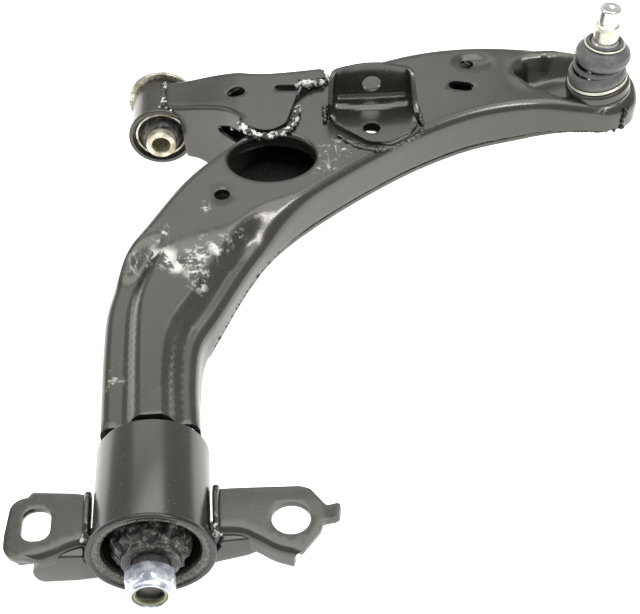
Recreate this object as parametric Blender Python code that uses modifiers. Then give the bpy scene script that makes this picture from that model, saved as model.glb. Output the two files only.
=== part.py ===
"""Lower control arm: a pressed steel arm with a rear bush in a two-eared bracket, a front bush and a ball joint.

Sizes are in millimetres. The arm is laid out round its pivot axis, which runs along +Y through the centres of
both bushes at x = 0, z = 0. +X points outboard to the ball joint. At the end everything is moved together, so
that the origin is at the bottom centre of the whole object.
"""

import math

import bmesh
import bpy
from mathutils import Matrix, Vector
from mathutils.geometry import delaunay_2d_cdt

MM = 0.001
GAP = 0.3
SHEET = 3.0
ROUND_STEPS = 32

# Rear bush, along the pivot axis. Its front ring starts at y = 0.
REAR_TUBE_RADIUS = 30.0
REAR_TUBE_WALL = 3.0
REAR_TUBE_LENGTH = 62.0
REAR_FLANGE_RADIUS = REAR_TUBE_RADIUS + 3.0
REAR_FLANGE_THICKNESS = 2.5
REAR_SLEEVE_WALL = 2.2
REAR_INNER_RADIUS = 15.0
REAR_INNER_NOSE = 5.0
REAR_PIN_RADIUS = 9.5
REAR_PIN_NOSE = 11.2
THREAD_RADIUS = 7.8
THREAD_LENGTH = 8.3
NUT_ACROSS_FLATS = 24.2
NUT_HEX_LENGTH = 9.0
NUT_COLLAR_RADIUS = 10.3
NUT_COLLAR_LENGTH = 3.8
PIN_STUB_RADIUS = 20.5
PIN_STUB_LENGTH = 44.0

# Front bush, on the same axis.
FRONT_BUSH_Y = 344.0
FRONT_TUBE_RADIUS = 19.8
FRONT_TUBE_WALL = 2.0
FRONT_TUBE_LENGTH = 41.0
FRONT_RIM_RADIUS = 22.1
FRONT_SLEEVE_WALL = 1.7
FRONT_FLANGE_RADIUS = 23.4
FRONT_FLANGE_THICKNESS = 3.2
FRONT_INNER_RADIUS = 10.0
FRONT_BORE_RADIUS = 6.2
FRONT_INNER_NOSE = 9.0

# Arm pressing.
PLATE_HEIGHT = 33.0
HUMP_HEIGHT = 29.7
FLANK_DROP = 9.5
FLANK_START = 8.5
FLANK_END = 22.5
LEG_END_GAP = 3.2
LEG_END_Y = REAR_FLANGE_THICKNESS + GAP + REAR_TUBE_LENGTH + LEG_END_GAP
LEG_HALF_WIDTH = 27.0
ARM_BEND_RADIUS = 6.0
FLANGE_BOTTOM = 6.0
TIP_FLANGE_BOTTOM = 15.0
LEG_FLANGE_BOTTOM = -4.0
LOWER_PLATE_THICKNESS = 2.5
LOWER_PLATE_START_Y = 136.0
STRUT_RISE_END_X = 48.0
STRUT_FAR_END_X = 113.0

# Ball joint. The housing leans inboard, and the stud stands upright at rest.
BALL_X = 295.0
BALL_Y = 335.0
BALL_Z = 36.0
BALL_RADIUS = 12.0
BALL_CLEARANCE = 0.4
SEAT_WALL = 1.8
HOUSING_LEAN = 11.0
HOUSING_RADIUS = 21.3
HOUSING_SPIGOT_RADIUS = 17.4
HOUSING_SEAT_DEPTH = 11.0
STUD_RADIUS = 8.2
STUD_TOP_RADIUS = 7.0
STUD_NECK_RADIUS = 6.4
STUD_HEIGHT = 59.0
BOOT_WALL = 1.6
BOOT_RADIUS = 18.6

# Rear bracket.
EAR_THICKNESS = 3.5
EAR_WALL_X = REAR_TUBE_RADIUS + 4.7
EAR_SHIFT = EAR_WALL_X - 34.7
EAR_BEND_RADIUS = 5.0
EAR_WALL_HEIGHT = 6.0
EAR_HOLE_RADIUS = 10.1
EAR_HOLE = (71.2 + EAR_SHIFT, 18.5)
EAR_SLOT = (-59.0 - EAR_SHIFT, 23.3)
EAR_SLOT_SIZE = (15.0, 20.5)
RIGHT_LIP_DEPTH = 12.0
LEFT_LIP_DEPTH = 8.0
CRADLE_FRONT_Y = 19.0
CRADLE_BACK_Y = 39.0

# Link bracket on top of the arm.
LINK_X = (113.5, 169.5)
LINK_BACK_Y = 331.0
LINK_BACK_HEIGHT = 27.0
LINK_HOLE_RADIUS = 6.0
LINK_SEAT_HOLE = (139.0, 297.0)

BLACK_PAINT = (0.028, 0.028, 0.027)
ZINC = (0.62, 0.61, 0.57)
YELLOW_ZINC = (0.55, 0.47, 0.28)
RUBBER = (0.045, 0.042, 0.04)


def clear_scene():
    for old in list(bpy.data.objects):
        bpy.data.objects.remove(old)


def make_material(name, color, roughness, metallic):
    material = bpy.data.materials.new(name)
    material.use_nodes = True
    shader = material.node_tree.nodes["Principled BSDF"]
    shader.inputs["Base Color"].default_value = (*color, 1.0)
    shader.inputs["Roughness"].default_value = roughness
    shader.inputs["Metallic"].default_value = metallic
    return material


def add_empty(name, place, parent=None, turn=(0.0, 0.0, 0.0)):
    empty = bpy.data.objects.new(name, None)
    bpy.context.scene.collection.objects.link(empty)
    empty.parent = parent
    empty.location = Vector(place) * MM
    empty.rotation_euler = [math.radians(angle) for angle in turn]
    return empty


def add_object(name, bm, parent, material, collection):
    mesh = bpy.data.meshes.new(name)
    bm.to_mesh(mesh)
    bm.free()
    made = bpy.data.objects.new(name, mesh)
    collection.objects.link(made)
    made.parent = parent
    if material:
        mesh.materials.append(material)
    return made


def as_cutter(made):
    made.hide_render = True
    made.display_type = "WIRE"
    return made


def add_boolean(made, other, operation="DIFFERENCE"):
    modifier = made.modifiers.new(operation.title() + "_" + other.name, "BOOLEAN")
    modifier.operation = operation
    modifier.object = other
    modifier.solver = "EXACT"
    weld = made.modifiers.new("Weld_" + other.name, "WELD")
    weld.merge_threshold = 0.01 * MM


# ---------------------------------------------------------------- shapes


def turned(name, profile, parent, material, collection, steps=ROUND_STEPS):
    """A solid turned about the parent's Z axis. The profile is (radius, height) pairs, down the outer side first."""
    bm = bmesh.new()
    corners = [bm.verts.new((radius * MM, 0.0, height * MM)) for radius, height in profile]
    for start, end in zip(corners, corners[1:]):
        bm.edges.new((start, end))
    if profile[0][0] > 0:
        bm.edges.new((corners[-1], corners[0]))
    made = add_object(name, bm, parent, material, collection)
    screw = made.modifiers.new("Turn", "SCREW")
    screw.angle = math.tau
    screw.steps = steps
    screw.render_steps = steps
    screw.use_merge_vertices = True
    screw.merge_threshold = 0.00001
    screw.use_smooth_shade = True
    return made


def rounded_polygon(corners, steps=4):
    """Corners are (x, y, radius). Each is rounded by an arc that is tangent to both of its sides."""
    path = []
    count = len(corners)
    for index, (x, y, radius) in enumerate(corners):
        corner = Vector((x, y))
        before = (Vector(corners[index - 1][:2]) - corner).normalized()
        after = (Vector(corners[(index + 1) % count][:2]) - corner).normalized()
        if radius <= 0:
            path.append(corner)
            continue
        half = before.angle(after) / 2
        middle = (before + after).normalized()
        centre = corner + middle * (radius / math.sin(half))
        start = corner + before * (radius / math.tan(half)) - centre
        end = corner + after * (radius / math.tan(half)) - centre
        sweep = start.angle_signed(end)
        for step in range(steps + 1):
            turn = Matrix.Rotation(-sweep * step / steps, 2)
            path.append(centre + turn @ start)
    return path


def ellipse(centre, half_x, half_y, turn_degrees=0.0, steps=28):
    """A round or oval outline."""
    turn = Matrix.Rotation(math.radians(turn_degrees), 2)
    angles = [math.tau * step / steps for step in range(steps)]
    return [Vector(centre) + turn @ Vector((half_x * math.cos(a), half_y * math.sin(a))) for a in angles]


def long_hole(centre, length, width, turn_degrees=0.0, steps=8):
    """A slot outline with round ends. Its length runs along x before it is turned."""
    turn = Matrix.Rotation(math.radians(turn_degrees), 2)
    reach = (length - width) / 2
    path = []
    for side in (1, -1):
        for step in range(steps + 1):
            angle = math.pi * (step / steps - 0.5)
            point = Vector((reach + width / 2 * math.cos(angle), width / 2 * math.sin(angle))) * side
            path.append(Vector(centre) + turn @ point)
    return path


def smooth_path(points, steps):
    """Points along a Catmull-Rom curve through the given ones."""
    ends = [2 * points[0] - points[1], *points, 2 * points[-1] - points[-2]]
    path = []
    for a, b, c, d in zip(ends, ends[1:], ends[2:], ends[3:]):
        for step in range(steps):
            t = step / steps
            path.append(
                0.5 * (2 * b + (c - a) * t + (2 * a - 5 * b + 4 * c - d) * t**2 + (3 * b - a - 3 * c + d) * t**3)
            )
    path.append(points[-1])
    return path


def inset_path(path, distance):
    """An open path moved to its left side by a distance."""
    moved = []
    for index, point in enumerate(path):
        ahead = path[min(index + 1, len(path) - 1)]
        behind = path[max(index - 1, 0)]
        along = (ahead - behind).normalized()
        moved.append(point + Vector((-along.y, along.x)) * distance)
    return moved


def nearest_on_path(point, path):
    """The nearest point on an open path."""
    best = path[0]
    for start, end in zip(path, path[1:]):
        side = end - start
        share = max(0.0, min(1.0, (point - start).dot(side) / side.length_squared))
        found = start + side * share
        if (found - point).length < (best - point).length:
            best = found
    return best


def smooth_step(value, low, high):
    share = max(0.0, min(1.0, (value - low) / (high - low)))
    return share * share * (3 - 2 * share)


def prism(name, outline, bottom, top, parent, material, collection):
    """A flat outline as a solid between two heights."""
    bm = bmesh.new()
    floor = bm.faces.new([bm.verts.new((p.x * MM, p.y * MM, bottom * MM)) for p in outline])
    raised = bmesh.ops.extrude_face_region(bm, geom=[floor])
    for item in raised["geom"]:
        if isinstance(item, bmesh.types.BMVert):
            item.co.z = top * MM
    bmesh.ops.recalc_face_normals(bm, faces=bm.faces)
    return add_object(name, bm, parent, material, collection)


def cut_out(made, name, outline, bottom, top, root, cutters):
    cutter = as_cutter(prism(name, outline, bottom, top, root, None, cutters))
    add_boolean(made, cutter)


def block(name, outline, chains, grid, top, bottom, parent, material, collection):
    """A solid over a flat outline. top and bottom give its heights at x, y. Its mesh follows chains and grid points."""
    corners = list(outline)
    edges = [(index, (index + 1) % len(outline)) for index in range(len(outline))]
    for chain in chains:
        edges += [(len(corners) + index, len(corners) + index + 1) for index in range(len(chain) - 1)]
        corners += chain
    corners += grid
    points, _, triangles, _, _, _ = delaunay_2d_cdt(corners, edges, [], 1, 1e-5)
    bm = bmesh.new()
    upper = [bm.verts.new((p.x * MM, p.y * MM, top(p.x, p.y) * MM)) for p in points]
    lower = [bm.verts.new((p.x * MM, p.y * MM, bottom(p.x, p.y) * MM)) for p in points]
    sides = set()
    for triangle in triangles:
        bm.faces.new([upper[index] for index in triangle])
        bm.faces.new([lower[index] for index in reversed(triangle)])
        sides |= set(zip(triangle, [*triangle[1:], triangle[0]]))
    for start, end in sorted(sides):
        if (end, start) not in sides:
            bm.faces.new((upper[end], upper[start], lower[start], lower[end]))
    for vert in [vert for vert in bm.verts if not vert.link_faces]:
        bm.verts.remove(vert)
    bmesh.ops.recalc_face_normals(bm, faces=bm.faces)
    return add_object(name, bm, parent, material, collection)


def bend_insets(radius):
    """How far in from the rim the corners of a rounded bend lie."""
    return [radius * (1 - math.sin(math.radians(degrees))) for degrees in (65, 35, 0)]


def rounded_top(top, walls, radius):
    """The height function of a top side whose walled rims are rounded."""

    def height(x, y):
        place = Vector((x, y))
        distance = min((nearest_on_path(place, wall) - place).length for wall in walls)
        short = max(0.0, radius - distance)
        return top(x, y) - radius + math.sqrt(max(0.0, radius**2 - short**2))

    return height


def pressing(name, sections, top, bottom, sheet, bend, grid, root, material, parts, cutters):
    """A pressed sheet with its rim bent down: a solid, hollowed from below by a smaller one.

    sections are (path, walled) runs round the outline. A run without a wall stays open.
    """
    outline = [point for path, _ in sections for point in path]
    walls = [path for path, walled in sections if walled]
    closed = outline + outline[:1]
    inner = [p for p in grid if inside(p, outline) and (nearest_on_path(p, closed) - p).length > bend + 2]
    chains = [inset_path(wall, inset) for wall in walls for inset in bend_insets(bend)]
    made = block(name, outline, chains, inner, rounded_top(top, walls, bend), bottom, root, material, parts)

    hollow_outline = []
    for path, walled in sections:
        hollow_outline += inset_path(path, sheet if walled else -8.0)
    walls = [inset_path(wall, sheet) for wall in walls]
    bend -= sheet
    chains = [inset_path(wall, inset) for wall in walls for inset in bend_insets(bend)]
    hollow = block(
        name + "_hollow",
        hollow_outline,
        chains,
        inner,
        rounded_top(lambda x, y: top(x, y) - sheet, walls, bend),
        lambda x, y: bottom(x, y) - 30,
        root,
        None,
        cutters,
    )
    add_boolean(made, as_cutter(hollow))
    return made


def grid_points(low, high, step_x, step_y):
    columns = int((high[0] - low[0]) / step_x) + 1
    rows = int((high[1] - low[1]) / step_y) + 1
    return [
        Vector((low[0] + column * step_x, low[1] + row * step_y))
        for column in range(columns)
        for row in range(rows)
    ]


def slice_up(bm, stations, axis):
    """Divides the faces along planes square to an axis, at the given places."""
    normal = Vector((0.0, 0.0, 0.0))
    normal[axis] = 1.0
    for station in stations:
        everything = bm.verts[:] + bm.edges[:] + bm.faces[:]
        bmesh.ops.bisect_plane(bm, geom=everything, plane_co=normal * station * MM, plane_no=normal, dist=1e-6)


def face_up(bm):
    """Makes the faces of an open surface agree, with its top side up."""
    bmesh.ops.recalc_face_normals(bm, faces=bm.faces)
    if sum(face.normal.z * face.calc_area() for face in bm.faces) < 0:
        bmesh.ops.reverse_faces(bm, faces=bm.faces)


def thicken(made, thickness):
    solidify = made.modifiers.new("Sheet", "SOLIDIFY")
    solidify.thickness = thickness * MM
    solidify.offset = -1.0
    solidify.use_even_offset = True
    return made


def weld_bead(name, points, radius, parent, material, collection):
    """A bead that runs through the given points."""
    curve = bpy.data.curves.new(name, "CURVE")
    curve.dimensions = "3D"
    curve.bevel_depth = radius * MM
    curve.bevel_resolution = 1
    curve.use_fill_caps = True
    spline = curve.splines.new("POLY")
    spline.points.add(len(points) - 1)
    for target, point in zip(spline.points, points):
        target.co = (*(Vector(point) * MM), 1.0)
    curve.materials.append(material)
    made = bpy.data.objects.new(name, curve)
    collection.objects.link(made)
    made.parent = parent
    return made


# ---------------------------------------------------------------- arm pressing


def arm_outline():
    """The outer edge of the arm, from the leg's outboard corner round the ball joint to its inboard corner."""
    corners = [
        (LEG_HALF_WIDTH - 1, LEG_END_Y),
        (25, 100),
        (28, 128),
        (39, 150),
        (64, 200),
        (89, 230),
        (128, 263),
        (170, 292),
        (212, 312),
        (250, 319),
        (284, 316),
        (304, 315),
        (318, 323),
        (323, 339),
        (317, 356),
        (300, 371),
        (275, 382),
        (240, 389),
        (210, 391),
        (181, 387),
        (150, 377),
        (118, 360),
        (94, 346),
        (61, 315),
        (20, 263),
        (-4, 219),
        (-19.5, 189),
        (-26.5, 160),
        (-28, 125),
        (-LEG_HALF_WIDTH, LEG_END_Y),
    ]
    return smooth_path([Vector(corner) for corner in corners], 3)


def tray_corners():
    """The recess that the ball joint sits in, from its inboard end."""
    return [
        (243, 356, 10),
        (256, 332, 14),
        (280, 322, 10),
        (306, 322, 12),
        (318, 338, 14),
        (304, 362, 16),
        (270, 372, 14),
        (248, 370, 10),
    ]


def tray_floor(x):
    """The recess's floor is square to the leaning ball joint housing."""
    lean = math.radians(HOUSING_LEAN)
    return BALL_Z + (-HOUSING_SEAT_DEPTH - GAP + (x - BALL_X) * math.sin(lean)) / math.cos(lean)


def inside(point, outline):
    found = False
    for a, b in zip(outline, outline[1:] + outline[:1]):
        crosses = (a.y > point.y) != (b.y > point.y)
        if crosses and point.x < a.x + (point.y - a.y) * (b.x - a.x) / (b.y - a.y):
            found = not found
    return found


def arm_height(x, y, outline, tray):
    """Height of the pressing's top side: the main plate, the leg's raised middle, its flanks and the recess."""
    point = Vector((x, y))
    edge = (nearest_on_path(point, outline) - point).length
    middle = HUMP_HEIGHT + (PLATE_HEIGHT - HUMP_HEIGHT) * smooth_step(y, 188, 212)
    flank = FLANK_DROP * (1 - smooth_step(y, 188, 222))
    height = middle - flank * (1 - smooth_step(edge, FLANK_START, FLANK_END))
    if inside(point, tray):
        depth = (nearest_on_path(point, tray + tray[:1]) - point).length
        height += (tray_floor(x) - height) * smooth_step(depth, 0, 8)
    return height


def flange_bottom(x, y):
    """Height of the flange's lower edge. It is shallow at the ball joint and deep along the leg."""
    tip = (TIP_FLANGE_BOTTOM - FLANGE_BOTTOM) * smooth_step(x, 225, 300)
    leg = (LEG_FLANGE_BOTTOM - FLANGE_BOTTOM) * smooth_step(-y, -175, -100)
    return FLANGE_BOTTOM + tip + leg


def build_arm_shell(root, paint, parts, cutters):
    outline = arm_outline()
    tray = rounded_polygon(tray_corners())
    insets = bend_insets(ARM_BEND_RADIUS)
    rims = [inset_path(outline, inset) for inset in insets]
    leg_end = [rim[-1] for rim in rims]
    leg_end += [Vector((x, LEG_END_Y)) for x in (-14, -7, 0, 7, 14)]
    leg_end += [rim[0] for rim in reversed(rims)]
    grid = grid_points((-14, 80), (30, 208), 7, 13)
    grid += [p for p in grid_points((-5, 215), (240, 385), 13, 13)]
    grid += grid_points((240, 315), (320, 385), 6.5, 6.5)
    shell = pressing(
        "arm_upper_shell",
        [(outline, True), (leg_end, False)],
        lambda x, y: arm_height(x, y, outline, tray),
        flange_bottom,
        SHEET,
        ARM_BEND_RADIUS,
        grid,
        root,
        paint,
        parts,
        cutters,
    )

    top_z = PLATE_HEIGHT + 8
    low_z = PLATE_HEIGHT - 14
    cut_out(shell, "big_hole", ellipse((73.5, 276), 27, 23, 8), low_z, top_z, root, cutters)
    cut_out(shell, "drain_hole", ellipse((41.3, 240.5), 4.8, 4.8, steps=16), low_z, top_z, root, cutters)
    cut_out(shell, "tooling_hole", ellipse((212.3, 370), 4.4, 4.4, steps=16), low_z, top_z, root, cutters)
    cut_out(shell, "seat_through_hole", ellipse(LINK_SEAT_HOLE, 5.6, 5.6, steps=18), low_z, top_z, root, cutters)
    cut_out(shell, "long_hole", long_hole((204, 342.5), 17, 10, -15), low_z, top_z, root, cutters)
    return shell


def cut_housing_seat(shell, housing_axis, cutters):
    """A stepped opening in the recess's floor, which the ball joint housing drops into."""
    step = -HOUSING_SEAT_DEPTH - GAP / 2
    profile = [
        (0, 14),
        (HOUSING_RADIUS + GAP, 14),
        (HOUSING_RADIUS + GAP, step),
        (HOUSING_SPIGOT_RADIUS + GAP, step),
        (HOUSING_SPIGOT_RADIUS + GAP, -24),
        (0, -24),
    ]
    add_boolean(shell, as_cutter(turned("housing_seat", profile, housing_axis, None, cutters)))


def build_lower_plate(root, paint, parts, cutters):
    bm = bmesh.new()
    edge = inset_path(arm_outline(), 0.5)
    bm.faces.new([bm.verts.new((p.x * MM, p.y * MM, 0.0)) for p in edge])
    slice_up(bm, (160, 180), 1)
    slice_up(bm, (225, 245, 262, 280, 300), 0)
    everything = bm.verts[:] + bm.edges[:] + bm.faces[:]
    bmesh.ops.bisect_plane(
        bm,
        geom=everything,
        plane_co=(0.0, LOWER_PLATE_START_Y * MM, 0.0),
        plane_no=(0.0, 1.0, 0.0),
        clear_inner=True,
    )
    for vert in bm.verts:
        vert.co.z = (flange_bottom(vert.co.x / MM, vert.co.y / MM) - GAP) * MM
    face_up(bm)
    plate = add_object("arm_lower_plate", bm, root, paint, parts)
    thicken(plate, LOWER_PLATE_THICKNESS)
    low_z, top_z = -10, 30
    cut_out(plate, "plate_hole_outer", ellipse((206, 366), 14, 11, steps=20), low_z, top_z, root, cutters)
    cut_out(plate, "plate_hole_inner", ellipse((141, 326), 11, 11, steps=20), low_z, top_z, root, cutters)
    cut_out(plate, "plate_hole_ball", ellipse((BALL_X, BALL_Y), 20.5, 20.5), low_z, top_z, root, cutters)
    return plate


# ---------------------------------------------------------------- front strut


def strut_height(x):
    """Height of the strut's top side. It climbs from the bush tube's top onto the arm's plate."""
    foot = FRONT_TUBE_RADIUS + GAP + SHEET - 1.2
    return foot + (PLATE_HEIGHT + GAP + SHEET - foot) * smooth_step(x, 4, STRUT_RISE_END_X)


def build_front_strut(root, pivot, paint, parts, cutters):
    near_wall = smooth_path([Vector(p) for p in ((5, 349), (14, 343), (28, 336), (42, 328), (53, 317))], 3)
    tongue = [(58, 305, 12), (72, 297, 12), (84, 306, 8), (92, 334, 8), (98, 352, 4)]
    far_end = [(STRUT_FAR_END_X, 355, 2), (STRUT_FAR_END_X, 363, 2)]
    open_side = [(53.5, 315, 0), *tongue, *far_end, (110, 366.5, 0), (60, 340, 0)]
    far_wall = smooth_path([Vector(p) for p in ((109, 367), (84, 365), (60, 363.5), (24, 371), (5, 380))], 3)
    left_end = [Vector((5, y)) for y in (372, 365, 357)]
    strut = pressing(
        "front_strut",
        [
            (near_wall, True),
            (rounded_polygon(open_side, 3)[:-1], False),
            (far_wall, True),
            (left_end, False),
        ],
        lambda x, y: strut_height(x),
        lambda x, y: -12,
        SHEET,
        5.0,
        grid_points((12, 304), (110, 372), 6, 8),
        root,
        paint,
        parts,
        cutters,
    )

    clear = FRONT_TUBE_RADIUS + GAP
    clear_rim = FRONT_RIM_RADIUS + GAP
    clear_flange = FRONT_FLANGE_RADIUS + GAP
    tube_end = FRONT_BUSH_Y + FRONT_TUBE_LENGTH
    around_tube = [(0, 440), (clear_flange, 440), (clear_flange, tube_end), (clear, tube_end)]
    around_tube += [(clear, FRONT_BUSH_Y + 4), (clear_rim, FRONT_BUSH_Y + 4)]
    around_tube += [(clear_rim, 280), (0, 280)]
    add_boolean(strut, as_cutter(turned("strut_tube_cut", around_tube, pivot, None, cutters, 48)))
    cut_out(strut, "strut_hole", ellipse((52.6, 343), 5.9, 5.9, steps=18), 25, 45, root, cutters)
    cut_out(strut, "strut_slot", long_hole((86.5, 344.5), 17, 7, -3), 25, 45, root, cutters)

    wall_slot = add_empty("wall_slot_axis", (45, 325, 15), root, (90, 0, -32))
    slot = prism("wall_slot", long_hole((0, 0), 24, 10.5, 6), -14, 14, wall_slot, None, cutters)
    add_boolean(strut, as_cutter(slot))
    return strut


# ---------------------------------------------------------------- bushes on the pivot axis


def build_rear_bush(pivot, materials, parts):
    """The rear bush, from its outside in. Heights run forward along the pivot axis."""
    tube_start = REAR_FLANGE_THICKNESS + GAP
    tube_end = tube_start + REAR_TUBE_LENGTH
    tube_bore = REAR_TUBE_RADIUS - REAR_TUBE_WALL
    sleeve_outer = tube_bore - GAP
    sleeve_bore = sleeve_outer - REAR_SLEEVE_WALL
    turned(
        "rear_bush_tube",
        [
            (REAR_TUBE_RADIUS - 0.8, tube_end),
            (REAR_TUBE_RADIUS, tube_end - 0.8),
            (REAR_TUBE_RADIUS, tube_start),
            (tube_bore, tube_start),
            (tube_bore, tube_end),
        ],
        pivot,
        materials["paint"],
        parts,
        48,
    )
    turned(
        "rear_bush_outer_sleeve",
        [
            (sleeve_outer, tube_end - 1),
            (sleeve_outer, REAR_FLANGE_THICKNESS),
            (REAR_FLANGE_RADIUS - 0.6, REAR_FLANGE_THICKNESS),
            (REAR_FLANGE_RADIUS, REAR_FLANGE_THICKNESS - 0.6),
            (REAR_FLANGE_RADIUS, 0.6),
            (REAR_FLANGE_RADIUS - 0.6, 0),
            (sleeve_bore + 2, 0),
            (sleeve_bore, 2),
            (sleeve_bore, tube_end - 1),
        ],
        pivot,
        materials["paint"],
        parts,
        48,
    )
    rubber_outer = sleeve_bore - GAP
    rubber_inner = REAR_INNER_RADIUS + GAP
    turned(
        "rear_bush_rubber",
        [
            (rubber_inner + 1.5, tube_end - 6),
            (rubber_outer, tube_end - 14),
            (rubber_outer, 15),
            (rubber_inner + 5, 11),
            (rubber_inner + 1.8, -1),
            (rubber_inner, -2.5),
            (rubber_inner, tube_end - 6),
        ],
        pivot,
        materials["rubber"],
        parts,
    )
    turned(
        "rear_bush_inner_sleeve",
        [
            (REAR_INNER_RADIUS, tube_end + 1.9),
            (REAR_INNER_RADIUS, 0.8 - REAR_INNER_NOSE),
            (REAR_INNER_RADIUS - 0.8, -REAR_INNER_NOSE),
            (REAR_PIN_RADIUS + GAP, -REAR_INNER_NOSE),
            (REAR_PIN_RADIUS + GAP, tube_end + 1.9),
        ],
        pivot,
        materials["zinc"],
        parts,
    )
    stub_start = tube_end + 1.9 + GAP
    turned(
        "rear_pin",
        [
            (0, stub_start + PIN_STUB_LENGTH),
            (PIN_STUB_RADIUS - 3, stub_start + PIN_STUB_LENGTH),
            (PIN_STUB_RADIUS, stub_start + PIN_STUB_LENGTH - 3),
            (PIN_STUB_RADIUS, stub_start + 1),
            (PIN_STUB_RADIUS - 1, stub_start),
            (REAR_PIN_RADIUS, stub_start),
            (REAR_PIN_RADIUS, -REAR_PIN_NOSE),
            (THREAD_RADIUS, -REAR_PIN_NOSE),
            (THREAD_RADIUS, 1 - REAR_PIN_NOSE - THREAD_LENGTH),
            (THREAD_RADIUS - 1, -REAR_PIN_NOSE - THREAD_LENGTH),
            (0, -REAR_PIN_NOSE - THREAD_LENGTH),
        ],
        pivot,
        materials["steel"],
        parts,
    )


def build_nut(pivot, materials, parts, cutters):
    """A collared lock nut: a turned blank whose sides are trimmed to a hexagon."""
    back = -REAR_PIN_NOSE - GAP
    hex_front = back - NUT_HEX_LENGTH
    front = hex_front - NUT_COLLAR_LENGTH
    corner = NUT_ACROSS_FLATS / 2 / math.cos(math.pi / 6)
    bore = THREAD_RADIUS + GAP
    nut = turned(
        "rear_nut",
        [
            (corner - 1.2, back),
            (corner + 0.2, back - 0.9),
            (corner + 0.2, hex_front + 1.6),
            (NUT_COLLAR_RADIUS + 1.6, hex_front),
            (NUT_COLLAR_RADIUS, hex_front - 0.4),
            (NUT_COLLAR_RADIUS, front + 0.8),
            (NUT_COLLAR_RADIUS - 0.8, front),
            (bore + 1.2, front),
            (bore + 1.2, hex_front - 0.3),
            (bore, hex_front - 0.3),
            (bore, back),
        ],
        pivot,
        materials["zinc"],
        parts,
        36,
    )
    bm = bmesh.new()
    bmesh.ops.create_cone(
        bm, cap_ends=True, segments=6, radius1=corner * MM, radius2=corner * MM, depth=0.05, calc_uvs=False
    )
    hexagon = as_cutter(add_object("nut_hexagon", bm, pivot, None, cutters))
    add_boolean(nut, hexagon, "INTERSECT")
    turned(
        "rear_nut_insert",
        [
            (bore + 1.2 - GAP, hex_front - 0.6),
            (bore + 1.2 - GAP, front + 0.4),
            (bore - 0.6, front + 0.8),
            (bore - 0.6, hex_front - 0.6),
        ],
        pivot,
        materials["nylon"],
        parts,
    )


def build_front_bush(pivot, materials, parts):
    """The front bush: a welded tube, a flanged sleeve pressed in from the front of the car, rubber and inner sleeve."""
    tube_end = FRONT_BUSH_Y + FRONT_TUBE_LENGTH
    bore = FRONT_TUBE_RADIUS - FRONT_TUBE_WALL
    turned(
        "front_bush_tube",
        [
            (FRONT_TUBE_RADIUS, tube_end),
            (FRONT_TUBE_RADIUS, FRONT_BUSH_Y + 4),
            (FRONT_RIM_RADIUS, FRONT_BUSH_Y + 2.5),
            (FRONT_RIM_RADIUS, FRONT_BUSH_Y + 0.6),
            (FRONT_RIM_RADIUS - 0.6, FRONT_BUSH_Y),
            (bore + 1.4, FRONT_BUSH_Y),
            (bore, FRONT_BUSH_Y + 2),
            (bore, tube_end),
        ],
        pivot,
        materials["paint"],
        parts,
        40,
    )
    sleeve_outer = bore - GAP
    sleeve_bore = sleeve_outer - FRONT_SLEEVE_WALL
    flange_end = tube_end + GAP + FRONT_FLANGE_THICKNESS
    turned(
        "front_bush_outer_sleeve",
        [
            (FRONT_FLANGE_RADIUS - 0.6, flange_end),
            (FRONT_FLANGE_RADIUS, flange_end - 0.6),
            (FRONT_FLANGE_RADIUS, tube_end + GAP),
            (sleeve_outer, tube_end + GAP),
            (sleeve_outer, FRONT_BUSH_Y + 2.5),
            (sleeve_bore, FRONT_BUSH_Y + 2.5),
            (sleeve_bore, flange_end),
        ],
        pivot,
        materials["yellow_zinc"],
        parts,
        40,
    )
    rubber_outer = sleeve_bore - GAP
    rubber_inner = FRONT_INNER_RADIUS + GAP
    turned(
        "front_bush_rubber",
        [
            (rubber_inner + 1.8, flange_end + 3),
            (rubber_outer, flange_end - 1),
            (rubber_outer, FRONT_BUSH_Y + 5),
            (rubber_inner + 3, FRONT_BUSH_Y + 2),
            (rubber_inner + 2, FRONT_BUSH_Y - 2.5),
            (rubber_inner, FRONT_BUSH_Y - 3.5),
            (rubber_inner, flange_end + 3),
        ],
        pivot,
        materials["rubber"],
        parts,
    )
    turned(
        "front_bush_inner_sleeve",
        [
            (FRONT_INNER_RADIUS, flange_end + FRONT_INNER_NOSE),
            (FRONT_INNER_RADIUS, FRONT_BUSH_Y - FRONT_INNER_NOSE),
            (FRONT_BORE_RADIUS, FRONT_BUSH_Y - FRONT_INNER_NOSE),
            (FRONT_BORE_RADIUS, flange_end + FRONT_INNER_NOSE),
        ],
        pivot,
        materials["yellow_zinc"],
        parts,
    )


# ---------------------------------------------------------------- rear bracket


def build_ear(name, lip, rest, lip_depth, wall_side, root, paint, parts, cutters):
    """One ear of the bracket: a flat plate, its front lip bent down, with a low wall up beside the tube."""
    ear = pressing(
        name,
        [(smooth_path([Vector(point) for point in lip], 3), True), (rest, False)],
        lambda x, y: 0.0,
        lambda x, y: -lip_depth,
        EAR_THICKNESS,
        EAR_BEND_RADIUS,
        [],
        root,
        paint,
        parts,
        cutters,
    )
    near_x = EAR_WALL_X * wall_side
    far_x = (EAR_WALL_X - EAR_THICKNESS) * wall_side
    wall = [(near_x, 14.5, 1), (near_x, 39, 1), (far_x, 39, 1), (far_x, 14.5, 1)]
    if wall_side < 0:
        wall.reverse()
    upright = prism(name + "_wall", rounded_polygon(wall, 2), -2, EAR_WALL_HEIGHT, root, None, cutters)
    add_boolean(ear, as_cutter(upright), "UNION")
    return ear


def moved_out(points, shift):
    """Points of an ear moved away from the tube, whose radius sets where the ears begin."""
    return [(point[0] + shift, *point[1:]) for point in points]


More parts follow.
